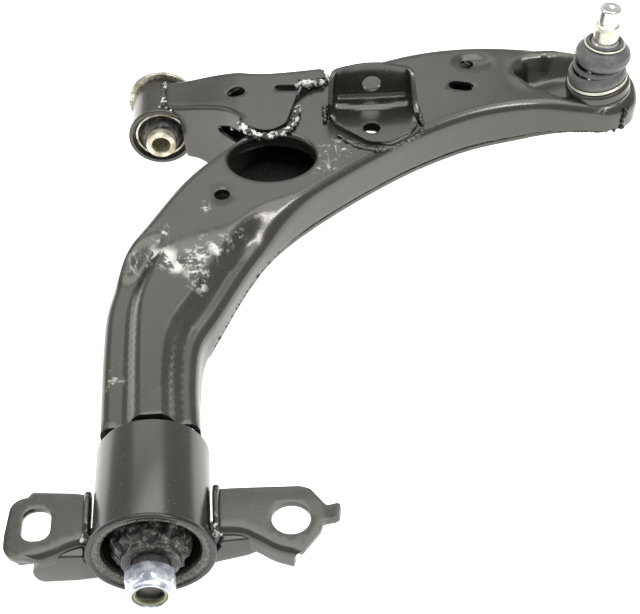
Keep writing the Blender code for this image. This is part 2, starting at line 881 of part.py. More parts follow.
def build_bracket(root, pivot, paint, parts, cutters):
    inner_x = EAR_WALL_X - EAR_THICKNESS + 0.5
    left_rest = [(-inner_x + EAR_SHIFT, 40, 1), (-41, 42, 6), (-62.5, 44, 2), (-64.5, 41, 2), (-73, 39, 8), (-74.8, 18, 20)]
    left_rest += [(-74.5, 3, 9), (-58, 2.6, 0), (-45, 12, 0)]
    left = build_ear(
        "bracket_left_ear",
        moved_out([(-56, 2.7), (-49, 5), (-42, 8.5), (-inner_x + EAR_SHIFT, 11.5)], -EAR_SHIFT),
        rounded_polygon(moved_out(left_rest, -EAR_SHIFT), 3)[:-2],
        LEFT_LIP_DEPTH,
        -1,
        root,
        paint,
        parts,
        cutters,
    )
    slot = [
        (EAR_SLOT[0] + sx * EAR_SLOT_SIZE[0] / 2, EAR_SLOT[1] + sy * EAR_SLOT_SIZE[1] / 2, 6.5)
        for sx, sy in ((-1, -1), (1, -1), (1, 1), (-1, 1))
    ]
    cut_out(left, "ear_slot", rounded_polygon(slot), -10, 10, root, cutters)
    right_rest = [(73.5, -3.2, 0), (77, -1, 6), (86, 10, 6), (88, 15.5, 2), (95, 15, 3), (97.5, 25, 2)]
    right_rest += [(90, 25, 3), (82, 37, 5), (77, 39, 4), (45, 40, 6), (inner_x - EAR_SHIFT, 40, 1), (45, 14, 0)]
    right = build_ear(
        "bracket_right_ear",
        moved_out([(inner_x - EAR_SHIFT, 13), (45, 12), (53, 7.3), (62, 1), (71.5, -2.9)], EAR_SHIFT),
        rounded_polygon(moved_out(right_rest, EAR_SHIFT), 3)[:-1],
        RIGHT_LIP_DEPTH,
        1,
        root,
        paint,
        parts,
        cutters,
    )
    cut_out(right, "ear_hole", ellipse(EAR_HOLE, EAR_HOLE_RADIUS, EAR_HOLE_RADIUS), -10, 10, root, cutters)

    across = add_empty("cradle_plane", (0, CRADLE_BACK_Y, 0), root, (90, 0, 0))
    depth = CRADLE_BACK_Y - CRADLE_FRONT_Y
    top = -EAR_THICKNESS - GAP
    bottom = -REAR_TUBE_RADIUS - SHEET - 1
    outer = [
        (-46, top, 0),
        (-50.5, -18, 8),
        (-46, -30, 6),
        (-34, bottom, 8),
        (34, bottom, 8),
        (50, -29, 6),
        (53, -16, 8),
        (52, top, 0),
    ]
    outer = [(x + math.copysign(EAR_SHIFT, x), *rest) for x, *rest in outer]
    cradle = prism("bracket_cradle", rounded_polygon(outer, 3), 0, depth, across, paint, parts)
    inner = [
        (-42.5, 10, 0),
        (-47.2, -18, 7),
        (-44, -26.5, 4),
        (-32, bottom + SHEET, 6),
        (32, bottom + SHEET, 6),
        (47.5, -25.5, 4),
        (49.5, -15, 7),
        (48.5, 10, 0),
    ]
    inner = [(x + math.copysign(EAR_SHIFT, x), *rest) for x, *rest in inner]
    hollow = prism("cradle_hollow", rounded_polygon(inner, 3), -10, depth - SHEET, across, None, cutters)
    add_boolean(cradle, as_cutter(hollow))
    clear = REAR_TUBE_RADIUS + GAP
    bore = turned("cradle_bore", [(0, 60), (clear, 60), (clear, -20), (0, -20)], pivot, None, cutters, 48)
    add_boolean(cradle, as_cutter(bore))


# ---------------------------------------------------------------- link bracket


def build_link_bracket(root, paint, parts, cutters):
    """A chair-shaped pressing on top of the arm: a seat, a tall back and two side walls that taper forwards."""
    base = PLATE_HEIGHT + GAP + SHEET
    left_x, right_x = LINK_X
    walls = [
        Vector(point)
        for point in (
            (right_x + 1, 307),
            (right_x, 319),
            (right_x - 1, 328),
            (right_x - 4, LINK_BACK_Y),
            (155, LINK_BACK_Y),
            (141, LINK_BACK_Y),
            (128, LINK_BACK_Y),
            (left_x + 4, LINK_BACK_Y),
            (left_x + 1, 328),
            (left_x - 1, 320),
            (left_x - 2, 314),
        )
    ]
    front = [Vector(point) for point in ((115, 305), (122, 296), (136, 284), (149, 283), (163, 291), (169, 299))]

    def wall_top(x, y):
        side = base + 4 + (LINK_BACK_HEIGHT - 10) * smooth_step(y, 306, LINK_BACK_Y - 2)
        return side + 6 * (1 - ((x - 141.5) / 28) ** 2) * smooth_step(y, 322, 327)

    chain = inset_path(walls, SHEET + 0.5)
    bottom = PLATE_HEIGHT + GAP
    bracket = block(
        "link_bracket", walls + front, [chain], [], wall_top, lambda x, y: bottom, root, paint, parts
    )
    pocket_outline = inset_path(walls, SHEET) + inset_path(front, -8)
    pocket = prism("link_pocket", pocket_outline, base, base + 50, root, None, cutters)
    add_boolean(bracket, as_cutter(pocket))
    hole_axis = add_empty("link_hole_axis", (141.5, LINK_BACK_Y, base + 11), root, (90, 0, 0))
    hole = ellipse((0, 0), LINK_HOLE_RADIUS, LINK_HOLE_RADIUS, steps=20)
    add_boolean(bracket, as_cutter(prism("link_hole", hole, -10, 10, hole_axis, None, cutters)))
    seat_hole = ellipse(LINK_SEAT_HOLE, 5.6, 5.6, steps=18)
    cut_out(bracket, "link_seat_hole", seat_hole, base - 10, base + 5, root, cutters)
    return bracket


# ---------------------------------------------------------------- ball joint


def build_ball_joint(housing_axis, stud_axis, waist_axis, materials, parts):
    seat_outer = BALL_RADIUS + BALL_CLEARANCE + SEAT_WALL
    housing_bore = seat_outer + GAP
    turned(
        "ball_housing",
        [
            (housing_bore + 1.4, 8.5),
            (HOUSING_SPIGOT_RADIUS, 7.6),
            (HOUSING_SPIGOT_RADIUS, 4.4),
            (HOUSING_RADIUS - 0.8, 3.4),
            (HOUSING_RADIUS, 2.2),
            (HOUSING_RADIUS, 1 - HOUSING_SEAT_DEPTH),
            (HOUSING_RADIUS - 1, -HOUSING_SEAT_DEPTH),
            (HOUSING_SPIGOT_RADIUS, -HOUSING_SEAT_DEPTH),
            (HOUSING_SPIGOT_RADIUS, -17),
            (housing_bore, -17),
            (housing_bore, 4.2),
            (housing_bore - 1.2, 8.5),
        ],
        housing_axis,
        materials["paint"],
        parts,
    )
    turned(
        "ball_housing_cap",
        [(0, -13.2), (housing_bore - GAP, -13.2), (housing_bore - GAP, -15.6), (0, -15.6)],
        housing_axis,
        materials["steel"],
        parts,
    )
    socket = BALL_RADIUS + BALL_CLEARANCE
    arc = [math.radians(degrees) for degrees in (-66, -48, -30, -12, 4, 17)]
    turned(
        "ball_seat",
        [
            (seat_outer, socket * math.sin(arc[-1])),
            (seat_outer, -12.8),
            (socket * math.cos(arc[0]), -12.8),
            *[(socket * math.cos(angle), socket * math.sin(angle)) for angle in arc],
        ],
        housing_axis,
        materials["nylon"],
        parts,
    )
    neck_angle = math.acos(STUD_NECK_RADIUS / BALL_RADIUS)
    low_angle = math.radians(-68)
    ball_arc = [neck_angle + (low_angle - neck_angle) * step / 9 for step in range(10)]
    turned(
        "ball_stud",
        [
            (0, STUD_HEIGHT - 1.6),
            (2.4, STUD_HEIGHT),
            (STUD_TOP_RADIUS - 0.7, STUD_HEIGHT),
            (STUD_TOP_RADIUS, STUD_HEIGHT - 0.7),
            (STUD_TOP_RADIUS, 49.2),
            (STUD_TOP_RADIUS - 0.8, 48.4),
            (STUD_TOP_RADIUS - 0.8, 47.4),
            (STUD_RADIUS - 0.6, 46),
            (STUD_RADIUS, 43),
            (STUD_RADIUS, 35),
            (STUD_RADIUS + 1.2, 33.8),
            (STUD_RADIUS + 1.2, 31.6),
            (STUD_NECK_RADIUS + 0.8, 29),
            (STUD_NECK_RADIUS, 22),
            *[(BALL_RADIUS * math.cos(angle), BALL_RADIUS * math.sin(angle)) for angle in ball_arc],
            (0, BALL_RADIUS * math.sin(low_angle)),
        ],
        stud_axis,
        materials["zinc"],
        parts,
    )
    lip = HOUSING_SPIGOT_RADIUS + GAP
    turned(
        "boot_lower",
        [
            (BOOT_RADIUS - 1.4, 13),
            (BOOT_RADIUS + 0.2, 11.5),
            (BOOT_RADIUS + 0.6, 9),
            (lip + 1, 6.8),
            (lip + 1, 4.8),
            (lip, 4.8),
            (lip, 7),
            (BOOT_RADIUS + 0.6 - BOOT_WALL, 9.4),
            (BOOT_RADIUS - 1.4 - BOOT_WALL, 13),
        ],
        housing_axis,
        materials["boot"],
        parts,
    )
    clip_ring("boot_lower_clip", lip + 1 + GAP + 0.9, 0.9, 5.8, housing_axis, materials["zinc"], parts)
    turned(
        "boot_waist",
        [(BOOT_RADIUS - 2.2, 17), (BOOT_RADIUS - 2.2, 15.4), (BOOT_RADIUS - 3.8, 15.4), (BOOT_RADIUS - 3.8, 17)],
        waist_axis,
        materials["boot"],
        parts,
    )
    collar = STUD_RADIUS + 1.2 + GAP
    turned(
        "boot_upper",
        [
            (collar + 2.2, 34),
            (collar + 2.2, 31.4),
            (BOOT_RADIUS - 2, 28),
            (BOOT_RADIUS - 0.6, 24.5),
            (BOOT_RADIUS - 1, 21.5),
            (BOOT_RADIUS - 2.4, 19.2),
            (BOOT_RADIUS - 4.2, 19.6),
            (BOOT_RADIUS - 0.8 - BOOT_WALL, 24.5),
            (BOOT_RADIUS - 2.4 - BOOT_WALL, 27),
            (collar, 31.4),
            (collar, 34),
        ],
        stud_axis,
        materials["boot"],
        parts,
    )
    clip_ring("boot_upper_clip", collar + 2.2 + GAP + 0.7, 0.7, 32.8, stud_axis, materials["zinc"], parts)


def clip_ring(name, radius, wire, height, parent, material, collection):
    """A round wire clip."""
    circle = [math.tau * step / 8 for step in range(8)]
    profile = [(radius + wire * math.sin(angle), height + wire * math.cos(angle)) for angle in circle]
    return turned(name, profile, parent, material, collection)


# ---------------------------------------------------------------- welds


def build_welds(root, paint, parts):
    bead = 1.9
    on_plate = PLATE_HEIGHT + bead + GAP
    around_tongue = [(54, 308), (60, 299.5), (68, 294), (75, 293.5), (83, 298.5), (89, 310), (94, 322)]
    weld_bead("strut_weld", [(x, y, on_plate) for x, y in around_tongue], bead, root, paint, parts)
    around_seat = [(117, 295), (126, 284), (135, 278.5), (145, 278), (155, 281), (166, 288), (173, 296)]
    weld_bead("link_bracket_weld", [(x, y, on_plate) for x, y in around_seat], bead, root, paint, parts)
    tube_top = FRONT_TUBE_RADIUS + 1.6 + GAP
    seam_length = FRONT_TUBE_LENGTH - 13
    seam = [(2.4, FRONT_BUSH_Y + 7 + seam_length * step / 4, tube_top) for step in range(5)]
    weld_bead("front_tube_weld", seam, 1.6, root, paint, parts)
    for name, side in (("bracket_weld_left", -1), ("bracket_weld_right", 1)):
        bm = bmesh.new()
        place = Matrix.Translation(Vector(((EAR_WALL_X - 1.3) * side, 10.6, 1.5)) * MM)
        bmesh.ops.create_uvsphere(bm, u_segments=12, v_segments=8, radius=2.1 * MM, matrix=place)
        add_object(name, bm, root, paint, parts)


def move_origin_to_bottom_centre(root, parts):
    bpy.context.view_layer.update()
    graph = bpy.context.evaluated_depsgraph_get()
    corners = []
    for made in parts.objects:
        evaluated = made.evaluated_get(graph)
        corners += [evaluated.matrix_world @ vert.co for vert in evaluated.to_mesh().vertices]
        evaluated.to_mesh_clear()
    lowest = Vector([min(corner[axis] for corner in corners) for axis in range(3)])
    highest = Vector([max(corner[axis] for corner in corners) for axis in range(3)])
    root.location = -Vector(((lowest.x + highest.x) / 2, (lowest.y + highest.y) / 2, lowest.z))
    bpy.context.view_layer.update()


def shade_round(parts):
    for made in parts.objects:
        if made.type == "MESH":
            made.data.shade_smooth()
            made.data.set_sharp_from_angle(angle=math.radians(35))


def main():
    clear_scene()
    parts = bpy.data.collections.new("control_arm")
    cutters = bpy.data.collections.new("cutters")
    for collection in (parts, cutters):
        bpy.context.scene.collection.children.link(collection)
    materials = {
        "paint": make_material("black_paint", BLACK_PAINT, 0.3, 0.0),
        "zinc": make_material("zinc_plate", ZINC, 0.35, 1.0),
        "yellow_zinc": make_material("yellow_zinc_plate", YELLOW_ZINC, 0.4, 1.0),
        "steel": make_material("bare_steel", (0.35, 0.35, 0.34), 0.4, 1.0),
        "rubber": make_material("bush_rubber", RUBBER, 0.8, 0.0),
        "boot": make_material("boot_rubber", (0.09, 0.087, 0.085), 0.55, 0.0),
        "nylon": make_material("nylon", (0.45, 0.43, 0.3), 0.5, 0.0),
    }
    root = add_empty("control_arm_origin", (0, 0, 0))
    pivot = add_empty("pivot_axis", (0, 0, 0), root, (-90, 0, 0))
    ball = (BALL_X, BALL_Y, BALL_Z)
    housing_axis = add_empty("ball_housing_axis", ball, root, (0, -HOUSING_LEAN, 0))
    waist_axis = add_empty("boot_waist_axis", ball, root, (0, -HOUSING_LEAN / 2, 0))
    stud_axis = add_empty("ball_stud_axis", ball, root)

    shell = build_arm_shell(root, materials["paint"], parts, cutters)
    cut_housing_seat(shell, housing_axis, cutters)
    build_lower_plate(root, materials["paint"], parts, cutters)
    build_front_strut(root, pivot, materials["paint"], parts, cutters)
    build_rear_bush(pivot, materials, parts)
    build_nut(pivot, materials, parts, cutters)
    build_front_bush(pivot, materials, parts)
    build_bracket(root, pivot, materials["paint"], parts, cutters)
    build_link_bracket(root, materials["paint"], parts, cutters)
    build_ball_joint(housing_axis, stud_axis, waist_axis, materials, parts)
    build_welds(root, materials["paint"], parts)
    shade_round(parts)
    move_origin_to_bottom_centre(root, parts)


main()
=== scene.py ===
import math

import bmesh
import bpy
import numpy as np
from mathutils import Matrix, Vector, noise
from mathutils.geometry import delaunay_2d_cdt


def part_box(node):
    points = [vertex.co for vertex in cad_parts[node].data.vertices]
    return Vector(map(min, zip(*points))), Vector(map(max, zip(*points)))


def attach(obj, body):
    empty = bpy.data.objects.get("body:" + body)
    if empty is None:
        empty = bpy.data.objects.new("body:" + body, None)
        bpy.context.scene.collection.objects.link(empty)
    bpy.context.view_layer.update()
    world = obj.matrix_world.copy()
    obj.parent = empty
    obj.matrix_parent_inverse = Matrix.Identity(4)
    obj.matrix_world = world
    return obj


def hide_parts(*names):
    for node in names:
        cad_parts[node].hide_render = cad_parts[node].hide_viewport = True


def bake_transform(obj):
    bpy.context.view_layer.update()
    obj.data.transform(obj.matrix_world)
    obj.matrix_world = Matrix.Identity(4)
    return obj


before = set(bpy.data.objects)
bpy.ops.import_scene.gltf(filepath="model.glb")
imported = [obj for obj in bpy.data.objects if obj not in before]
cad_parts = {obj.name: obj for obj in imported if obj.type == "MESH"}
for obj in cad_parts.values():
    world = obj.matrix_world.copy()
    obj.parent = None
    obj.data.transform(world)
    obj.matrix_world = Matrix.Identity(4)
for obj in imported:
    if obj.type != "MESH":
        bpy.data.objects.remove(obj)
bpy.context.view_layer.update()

# The arm swings on one axis through both bushes. Its pieces are laid out in millimetres from the
# middle of the rear bush's front ring, with x outboard to the ball joint and y along the axis.
MM = 0.001
ring_low, ring_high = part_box("rear_bush_outer_sleeve")
ring_centre = Vector(((ring_low.x + ring_high.x) / 2, ring_low.y, (ring_low.z + ring_high.z) / 2))


def at(x, y, z):
    return ring_centre + Vector((x, y, z)) * MM


# Black dip paint over pressed steel: glossy, with a fine orange peel, dust in the hollows, and pale streaks
# and chips that are partly scuffs where the arm was handled and partly a painted reflection on its glossy
# crests. Each painted piece gets its own share of dust and of these pale marks.
class Signal:
    """The output of a shader node. Arithmetic on it adds Math nodes beside it."""

    def __init__(self, finish, socket):
        self.finish = finish
        self.socket = socket

    def maths(self, operation, *values):
        return self.finish.node("ShaderNodeMath", dict(enumerate(values)), operation=operation)

    def __add__(self, other):
        return self.maths("ADD", self, other)

    def __radd__(self, other):
        return self.maths("ADD", other, self)

    def __sub__(self, other):
        return self.maths("SUBTRACT", self, other)

    def __rsub__(self, other):
        return self.maths("SUBTRACT", other, self)

    def __mul__(self, other):
        return self.maths("MULTIPLY", self, other)

    def __rmul__(self, other):
        return self.maths("MULTIPLY", other, self)

    def between(self, low, high):
        """0 below low, 1 above high, with a soft step."""
        inputs = {"Value": self, "From Min": low, "From Max": high}
        return self.finish.node("ShaderNodeMapRange", inputs, interpolation_type="SMOOTHSTEP")


class Finish:
    """A material in the making. Its even values go straight on the shader's sockets."""

    def __init__(self, name, color, roughness, metallic=0.0, **sockets):
        self.material = bpy.data.materials.new(name)
        self.material.use_nodes = True
        self.tree = self.material.node_tree
        self.shader = self.tree.nodes["Principled BSDF"]
        self.shader.inputs["Base Color"].default_value = (*color, 1.0)
        self.shader.inputs["Roughness"].default_value = roughness
        self.shader.inputs["Metallic"].default_value = metallic
        for socket, value in sockets.items():
            self.shader.inputs[socket.replace("_", " ")].default_value = value

    def node(self, kind, inputs=None, output=0, **settings):
        made = self.tree.nodes.new(kind)
        for setting, value in settings.items():
            setattr(made, setting, value)
        for socket, value in (inputs or {}).items():
            if isinstance(value, Signal):
                self.tree.links.new(value.socket, made.inputs[socket])
            elif isinstance(value, tuple) and len(value) == 3 and made.inputs[socket].type == "RGBA":
                made.inputs[socket].default_value = (*value, 1.0)
            else:
                made.inputs[socket].default_value = value
        return Signal(self, made.outputs[output])

    def place(self):
        return self.node("ShaderNodeTexCoord", output="Object")

    def grain(self, scale, detail=3.0, roughness=0.55, place=None):
        inputs = {"Vector": place or self.place(), "Scale": scale, "Detail": detail, "Roughness": roughness}
        return self.node("ShaderNodeTexNoise", inputs)

    def specks(self, scale, place=None):
        return self.node("ShaderNodeTexVoronoi", {"Vector": place or self.place(), "Scale": scale})

    def painted(self, name):
        """A share from 0 to 1 that the piece's mesh holds at each of its corners."""
        return self.node("ShaderNodeAttribute", output="Fac", attribute_name=name)

    def blend(self, share, below, above):
        """One colour laid over another by a share from 0 to 1."""
        inputs = {"Factor": share, 6: below, 7: above}
        return self.node("ShaderNodeMix", inputs, output=2, data_type="RGBA")

    def stretched(self, scale, turn=(0.0, 0.0, 0.0)):
        inputs = {"Vector": self.place(), "Scale": scale, "Rotation": turn}
        return self.node("ShaderNodeMapping", inputs)

    def bump(self, height, distance, strength=1.0, under=None):
        inputs = {"Height": height, "Distance": distance, "Strength": strength}
        if under:
            inputs["Normal"] = under
        return self.node("ShaderNodeBump", inputs)

    def feed(self, **signals):
        for socket, signal in signals.items():
            self.tree.links.new(signal.socket, self.shader.inputs[socket.replace("_", " ")])
        return self.material


def black_paint(name, dust=0.35, scuffs_and_sheen=False, streak_turn=0.0):
    paint = Finish(name, (0.012, 0.012, 0.0105), 0.24, IOR=1.72, Specular_Tint=(1.0, 0.975, 0.9, 1.0))
    settled = paint.grain(38, 5, 0.62).between(0.5, 0.8) * (dust * 0.45)
    fine = paint.specks(620).between(0.16, 0.05) * paint.grain(90).between(0.46, 0.66)
    color = paint.blend(settled * 0.8, (0.014, 0.014, 0.0122), (0.075, 0.07, 0.058))
    color = paint.blend(fine * 0.55, color, (0.34, 0.32, 0.27))
    rough = 0.2 + settled * 0.45 + fine * 0.2 + paint.grain(14) * 0.1
    # Pale streaks and chips: partly scuffed paint, partly a painted reflection laid along the glossy crest
    # where it shines.
    if scuffs_and_sheen:
        along = paint.stretched((240.0, 30.0, 90.0), (0.0, 0.0, streak_turn))
        streaks = paint.grain(1.0, 6, 0.7, along).between(0.56, 0.68)
        flake_and_sheen_spots = paint.grain(210, 5, 0.7).between(0.55, 0.62)
        wear_and_sheen = paint.painted("wear_and_sheen") * (streaks * 0.55 + flake_and_sheen_spots)
        chips_and_sheen = paint.painted("chips_and_sheen") * paint.grain(120, 6, 0.6).between(0.47, 0.53)
        shown = paint.node("ShaderNodeMath", {0: wear_and_sheen + chips_and_sheen, 1: 1.0}, operation="MINIMUM")
        color = paint.blend(shown, color, (0.62, 0.61, 0.57))
        rough = rough + shown * 0.25
    peel = paint.bump(paint.grain(420, 2), 0.00004, 0.5)
    pressed = paint.bump(paint.grain(22, 2), 0.0012, 0.10, peel)
    return paint.feed(Base_Color=color, Roughness=rough, Normal=pressed)


# The upper half of the arm: one steel sheet, 3 mm thick, drawn into a plate with a deep flange all
# round. Its leg is raised along the middle and stays open at the end that meets the rear bush.
SHEET = 3.0
PLATE_HEIGHT = 33.0
HUMP_HEIGHT = 29.7
LEG_END_Y = 68.0
ARM_BEND = 6.5


def smooth_path(points, steps):
    """A curve through the given points, as a list of points."""
    points = [Vector(point) for point in points]
    ends = [2 * points[0] - points[1], *points, 2 * points[-1] - points[-2]]
    path = []
    for a, b, c, d in zip(ends, ends[1:], ends[2:], ends[3:]):
        for step in range(steps):
            t = step / steps
            curve = 2 * b + (c - a) * t + (2 * a - 5 * b + 4 * c - d) * t**2 + (3 * b - a - 3 * c + d) * t**3
            path.append(curve * 0.5)
    path.append(points[-1])
    return path


def inset_path(path, distance, closed=False):
    """A path moved to its left side by a distance."""
    moved = []
    last = len(path) - 1
    for index, point in enumerate(path):
        ahead = path[(index + 1) % len(path)] if closed else path[min(index + 1, last)]
        behind = path[index - 1] if closed else path[max(index - 1, 0)]
        along = (ahead - behind).normalized()
        moved.append(point + Vector((-along.y, along.x)) * distance)
    return moved


def rounded_loop(corners, steps=6):
    """A closed outline. Corners are (x, y, radius)."""
    path = []
    for index, (x, y, radius) in enumerate(corners):
        corner = Vector((x, y))
        before = (Vector(corners[index - 1][:2]) - corner).normalized()
        after = (Vector(corners[(index + 1) % len(corners)][:2]) - corner).normalized()
        if radius <= 0:
            path.append(corner)
            continue
        half = before.angle(after) / 2
        centre = corner + (before + after).normalized() * (radius / math.sin(half))
        start = corner + before * (radius / math.tan(half)) - centre
        end = corner + after * (radius / math.tan(half)) - centre
        sweep = start.angle_signed(end)
        path += [centre + Matrix.Rotation(-sweep * step / steps, 2) @ start for step in range(steps + 1)]
    return path


def oval(x, y, half_x, half_y, turn_degrees=0.0, steps=48):
    turn = Matrix.Rotation(math.radians(turn_degrees), 2)
    angles = [math.tau * step / steps for step in range(steps)]
    return [Vector((x, y)) + turn @ Vector((half_x * math.cos(a), half_y * math.sin(a))) for a in angles]


def long_hole(x, y, length, width, turn_degrees=0.0, steps=10):
    turn = Matrix.Rotation(math.radians(turn_degrees), 2)
    reach = (length - width) / 2
    path = []
    for side in (1, -1):
        for step in range(steps + 1):
            angle = math.pi * (step / steps - 0.5)
            end = Vector((reach + width / 2 * math.cos(angle), width / 2 * math.sin(angle))) * side
            path.append(Vector((x, y)) + turn @ end)
    return path


def away(places, line):
    """How far each place lies from a line of points."""
    starts = np.array(line)[:-1]
    sides = np.array(line)[1:] - starts
    found = np.full(len(places), 1e9)
    for start, side in zip(starts, sides):
        length = max(1e-12, side @ side)
        share = np.clip((places - start) @ side / length, 0, 1)
        found = np.minimum(found, np.hypot(*(places - start - share[:, None] * side).T))
    return found


def within(places, loop):
    """Which places lie inside a closed loop."""
    loop = np.array(loop)
    found = np.zeros(len(places), bool)
    for a, b in zip(loop, np.roll(loop, -1, axis=0)):
        crosses = (a[1] > places[:, 1]) != (b[1] > places[:, 1])
        with np.errstate(divide="ignore", invalid="ignore"):
            reach = a[0] + (places[:, 1] - a[1]) * (b[0] - a[0]) / (b[1] - a[1])
        found ^= crosses & (places[:, 0] < reach)
    return found


def rise(value, low, high):
    share = np.clip((value - low) / (high - low), 0, 1)
    return share * share * (3 - 2 * share)


def quarter_round(distance, radius):
    """How far a rounded bend has fallen at a distance in from its rim."""
    short = np.clip(radius - distance, 0, radius)
    return radius - np.sqrt(np.maximum(0, radius**2 - short**2))


def drawn(bm, rim):
    """A strip of sheet grown from a rim: its free edges and their corners."""
    grown = bmesh.ops.extrude_edge_only(bm, edges=rim)["geom"]
    edges = [item for item in grown if isinstance(item, bmesh.types.BMEdge)]
    return edges, [item for item in grown if isinstance(item, bmesh.types.BMVert)]


def pressed_sheet(name, runs, height, spacing, bend, holes=(), up=False, thickness=SHEET, edge=0.35):
    """A sheet with its rim bent over.

    runs are (path, wall) round the outline, where wall gives the bent rim's far edge from x and y, or is
    None where the rim stays flat. holes are (loop, bend, depth), where a depth above 0 is a lip drawn down.
    """
    turn = 1 if up else -1
    outline = [point for path, _ in runs for point in path]
    run_of = [index for index, (path, _) in enumerate(runs) for _ in path]
    corners = list(outline)
    count = len(outline)
    edges = [(index, (index + 1) % count) for index in range(count)]
    walls = [path for path, wall in runs if wall]
    insets = [bend * (1 - math.sin(math.radians(degrees))) for degrees in (72, 54, 36, 18, 0)]
    for wall in walls:
        for inset in insets:
            chain = inset_path(wall, inset)
            edges += [(len(corners) + index, len(corners) + index + 1) for index in range(len(chain) - 1)]
            corners += chain
    for loop, hole_bend, _ in holes:
        turned = (30, 60, 90) if hole_bend > 0 else ()
        rings = [0.0] + [-hole_bend * (1 - math.cos(math.radians(degrees))) for degrees in turned]
        for ring in rings:
            chain = inset_path(loop, ring, closed=True)
            size = len(chain)
            edges += [(len(corners) + index, len(corners) + (index + 1) % size) for index in range(size)]
            corners += chain
    low = np.array(corners).min(0)
    high = np.array(corners).max(0)
    across = np.arange(low[0], high[0], spacing)
    down = np.arange(low[1], high[1], spacing * 0.866)
    grid = np.array([(x + spacing / 2 * (row % 2), y) for row, y in enumerate(down) for x in across])
    keep = within(grid, outline) & (away(grid, outline + outline[:1]) > spacing * 0.5)
    for wall in walls:
        keep &= away(grid, wall) > bend + spacing * 0.5
    for loop, hole_bend, _ in holes:
        keep &= ~within(grid, loop) & (away(grid, loop + loop[:1]) > hole_bend + spacing * 0.5)
    corners += [Vector(place) for place in grid[keep]]
    flat, _, triangles, came_from, _, _ = delaunay_2d_cdt(corners, edges, [], 1, 1e-5)
    places = np.array([(point.x, point.y) for point in flat])
    middles = places[np.array(triangles)].mean(1)
    solid = np.ones(len(triangles), bool)
    for loop, _, _ in holes:
        solid &= ~within(middles, loop)
    z = height(places)
    if walls:
        z = z + turn * quarter_round(np.min([away(places, wall) for wall in walls], axis=0), bend)
    for loop, hole_bend, depth in holes:
        if depth > 0:
            z = z - quarter_round(away(places, loop + loop[:1]), hole_bend)
    bm = bmesh.new()
    verts = [bm.verts.new((x, y, level)) for (x, y), level in zip(places, z)]
    for triangle in [triangle for triangle, kept in zip(triangles, solid) if kept]:
        bm.faces.new([verts[index] for index in triangle])
    on_run = {}
    for vert, sources in zip(verts, came_from):
        for source in sources:
            if source < count:
                on_run[vert] = run_of[source]
    open_edges = [edge for edge in bm.edges if len(edge.link_faces) == 1]
    for number, (_, wall) in enumerate(runs):
        rim = [item for item in open_edges if all(on_run.get(vert) == number for vert in item.verts)]
        if not wall:
            continue
        steps = 4
        for step in range(steps):
            rim, pulled = drawn(bm, rim)
            for vert in pulled:
                vert.co.z += (wall(vert.co.x, vert.co.y) - vert.co.z) / (steps - step)
    for loop, _, depth in holes:
        if depth <= 0:
            continue
        ring = [item for item in open_edges if item.is_valid]
        ring = [item for item in ring if not any(vert in on_run for vert in item.verts)]
        middles = np.array([((a.co + b.co) / 2)[:2] for a, b in [item.verts for item in ring]])
        ring = [item for item, gap in zip(ring, away(middles, loop + loop[:1])) if gap < 0.3]
        for _ in range(2):
            ring, pulled = drawn(bm, ring)
            for vert in pulled:
                vert.co.z -= depth / 2
    for vert in [vert for vert in bm.verts if not vert.link_faces]:
        bm.verts.remove(vert)
    bmesh.ops.recalc_face_normals(bm, faces=bm.faces)
    if sum(face.normal.z * face.calc_area() for face in bm.faces) < 0:
        bmesh.ops.reverse_faces(bm, faces=bm.faces)
    made = mesh_piece(name, bm)
    sheet = made.modifiers.new("Sheet", "SOLIDIFY")
    sheet.thickness = thickness * MM
    sheet.offset = -1.0
    sheet.use_even_offset = True
    rounded = made.modifiers.new("Punched edge", "BEVEL")
    rounded.width = edge * MM
    rounded.segments = 2
    rounded.limit_method = "ANGLE"
    rounded.angle_limit = math.radians(55)
    return made


def linked(name, bm, *placings):
    """A smooth object from a mesh that goes through each placing in turn."""
    mesh = bpy.data.meshes.new(name)
    bm.to_mesh(mesh)
    bm.free()
    for placing in placings:
        mesh.transform(placing)
    mesh.shade_smooth()
    made = bpy.data.objects.new(name, mesh)
    bpy.context.scene.collection.objects.link(made)
    return made


def mesh_piece(name, bm, axis=Matrix.Identity(4)):
    """A piece from a mesh in millimetres. axis is a matrix that stands the mesh in place."""
    return linked(name, bm, axis, Matrix.Translation(ring_centre) @ Matrix.Scale(MM, 4))


def millimetres(made):
    """The corners of a piece's mesh, in millimetres from the rear bush's ring."""
    corners = np.empty(len(made.data.vertices) * 3)
    made.data.vertices.foreach_get("co", corners)
    return (corners.reshape(-1, 3) - np.array(ring_centre)) / MM


def paint_share(made, name, shares):
    layer = made.data.attributes.new(name, "FLOAT", "POINT")
    layer.data.foreach_set("value", np.clip(shares, 0, 1).astype(np.float32))


def near(places, spots):
    """1 at each spot, fading to 0 over its radius. Spots are (x, y, z, radius)."""
    share = np.zeros(len(places))
    for x, y, z, radius in spots:
        gap = np.linalg.norm(places - np.array((x, y, z)), axis=1)
        share = np.maximum(share, 1 - rise(gap, radius * 0.35, radius))
    return share


def fit(piece, body, slot, material, *nodes):
    piece.data.materials.append(material)
    if nodes:
        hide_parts(*nodes)
    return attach(piece, body)


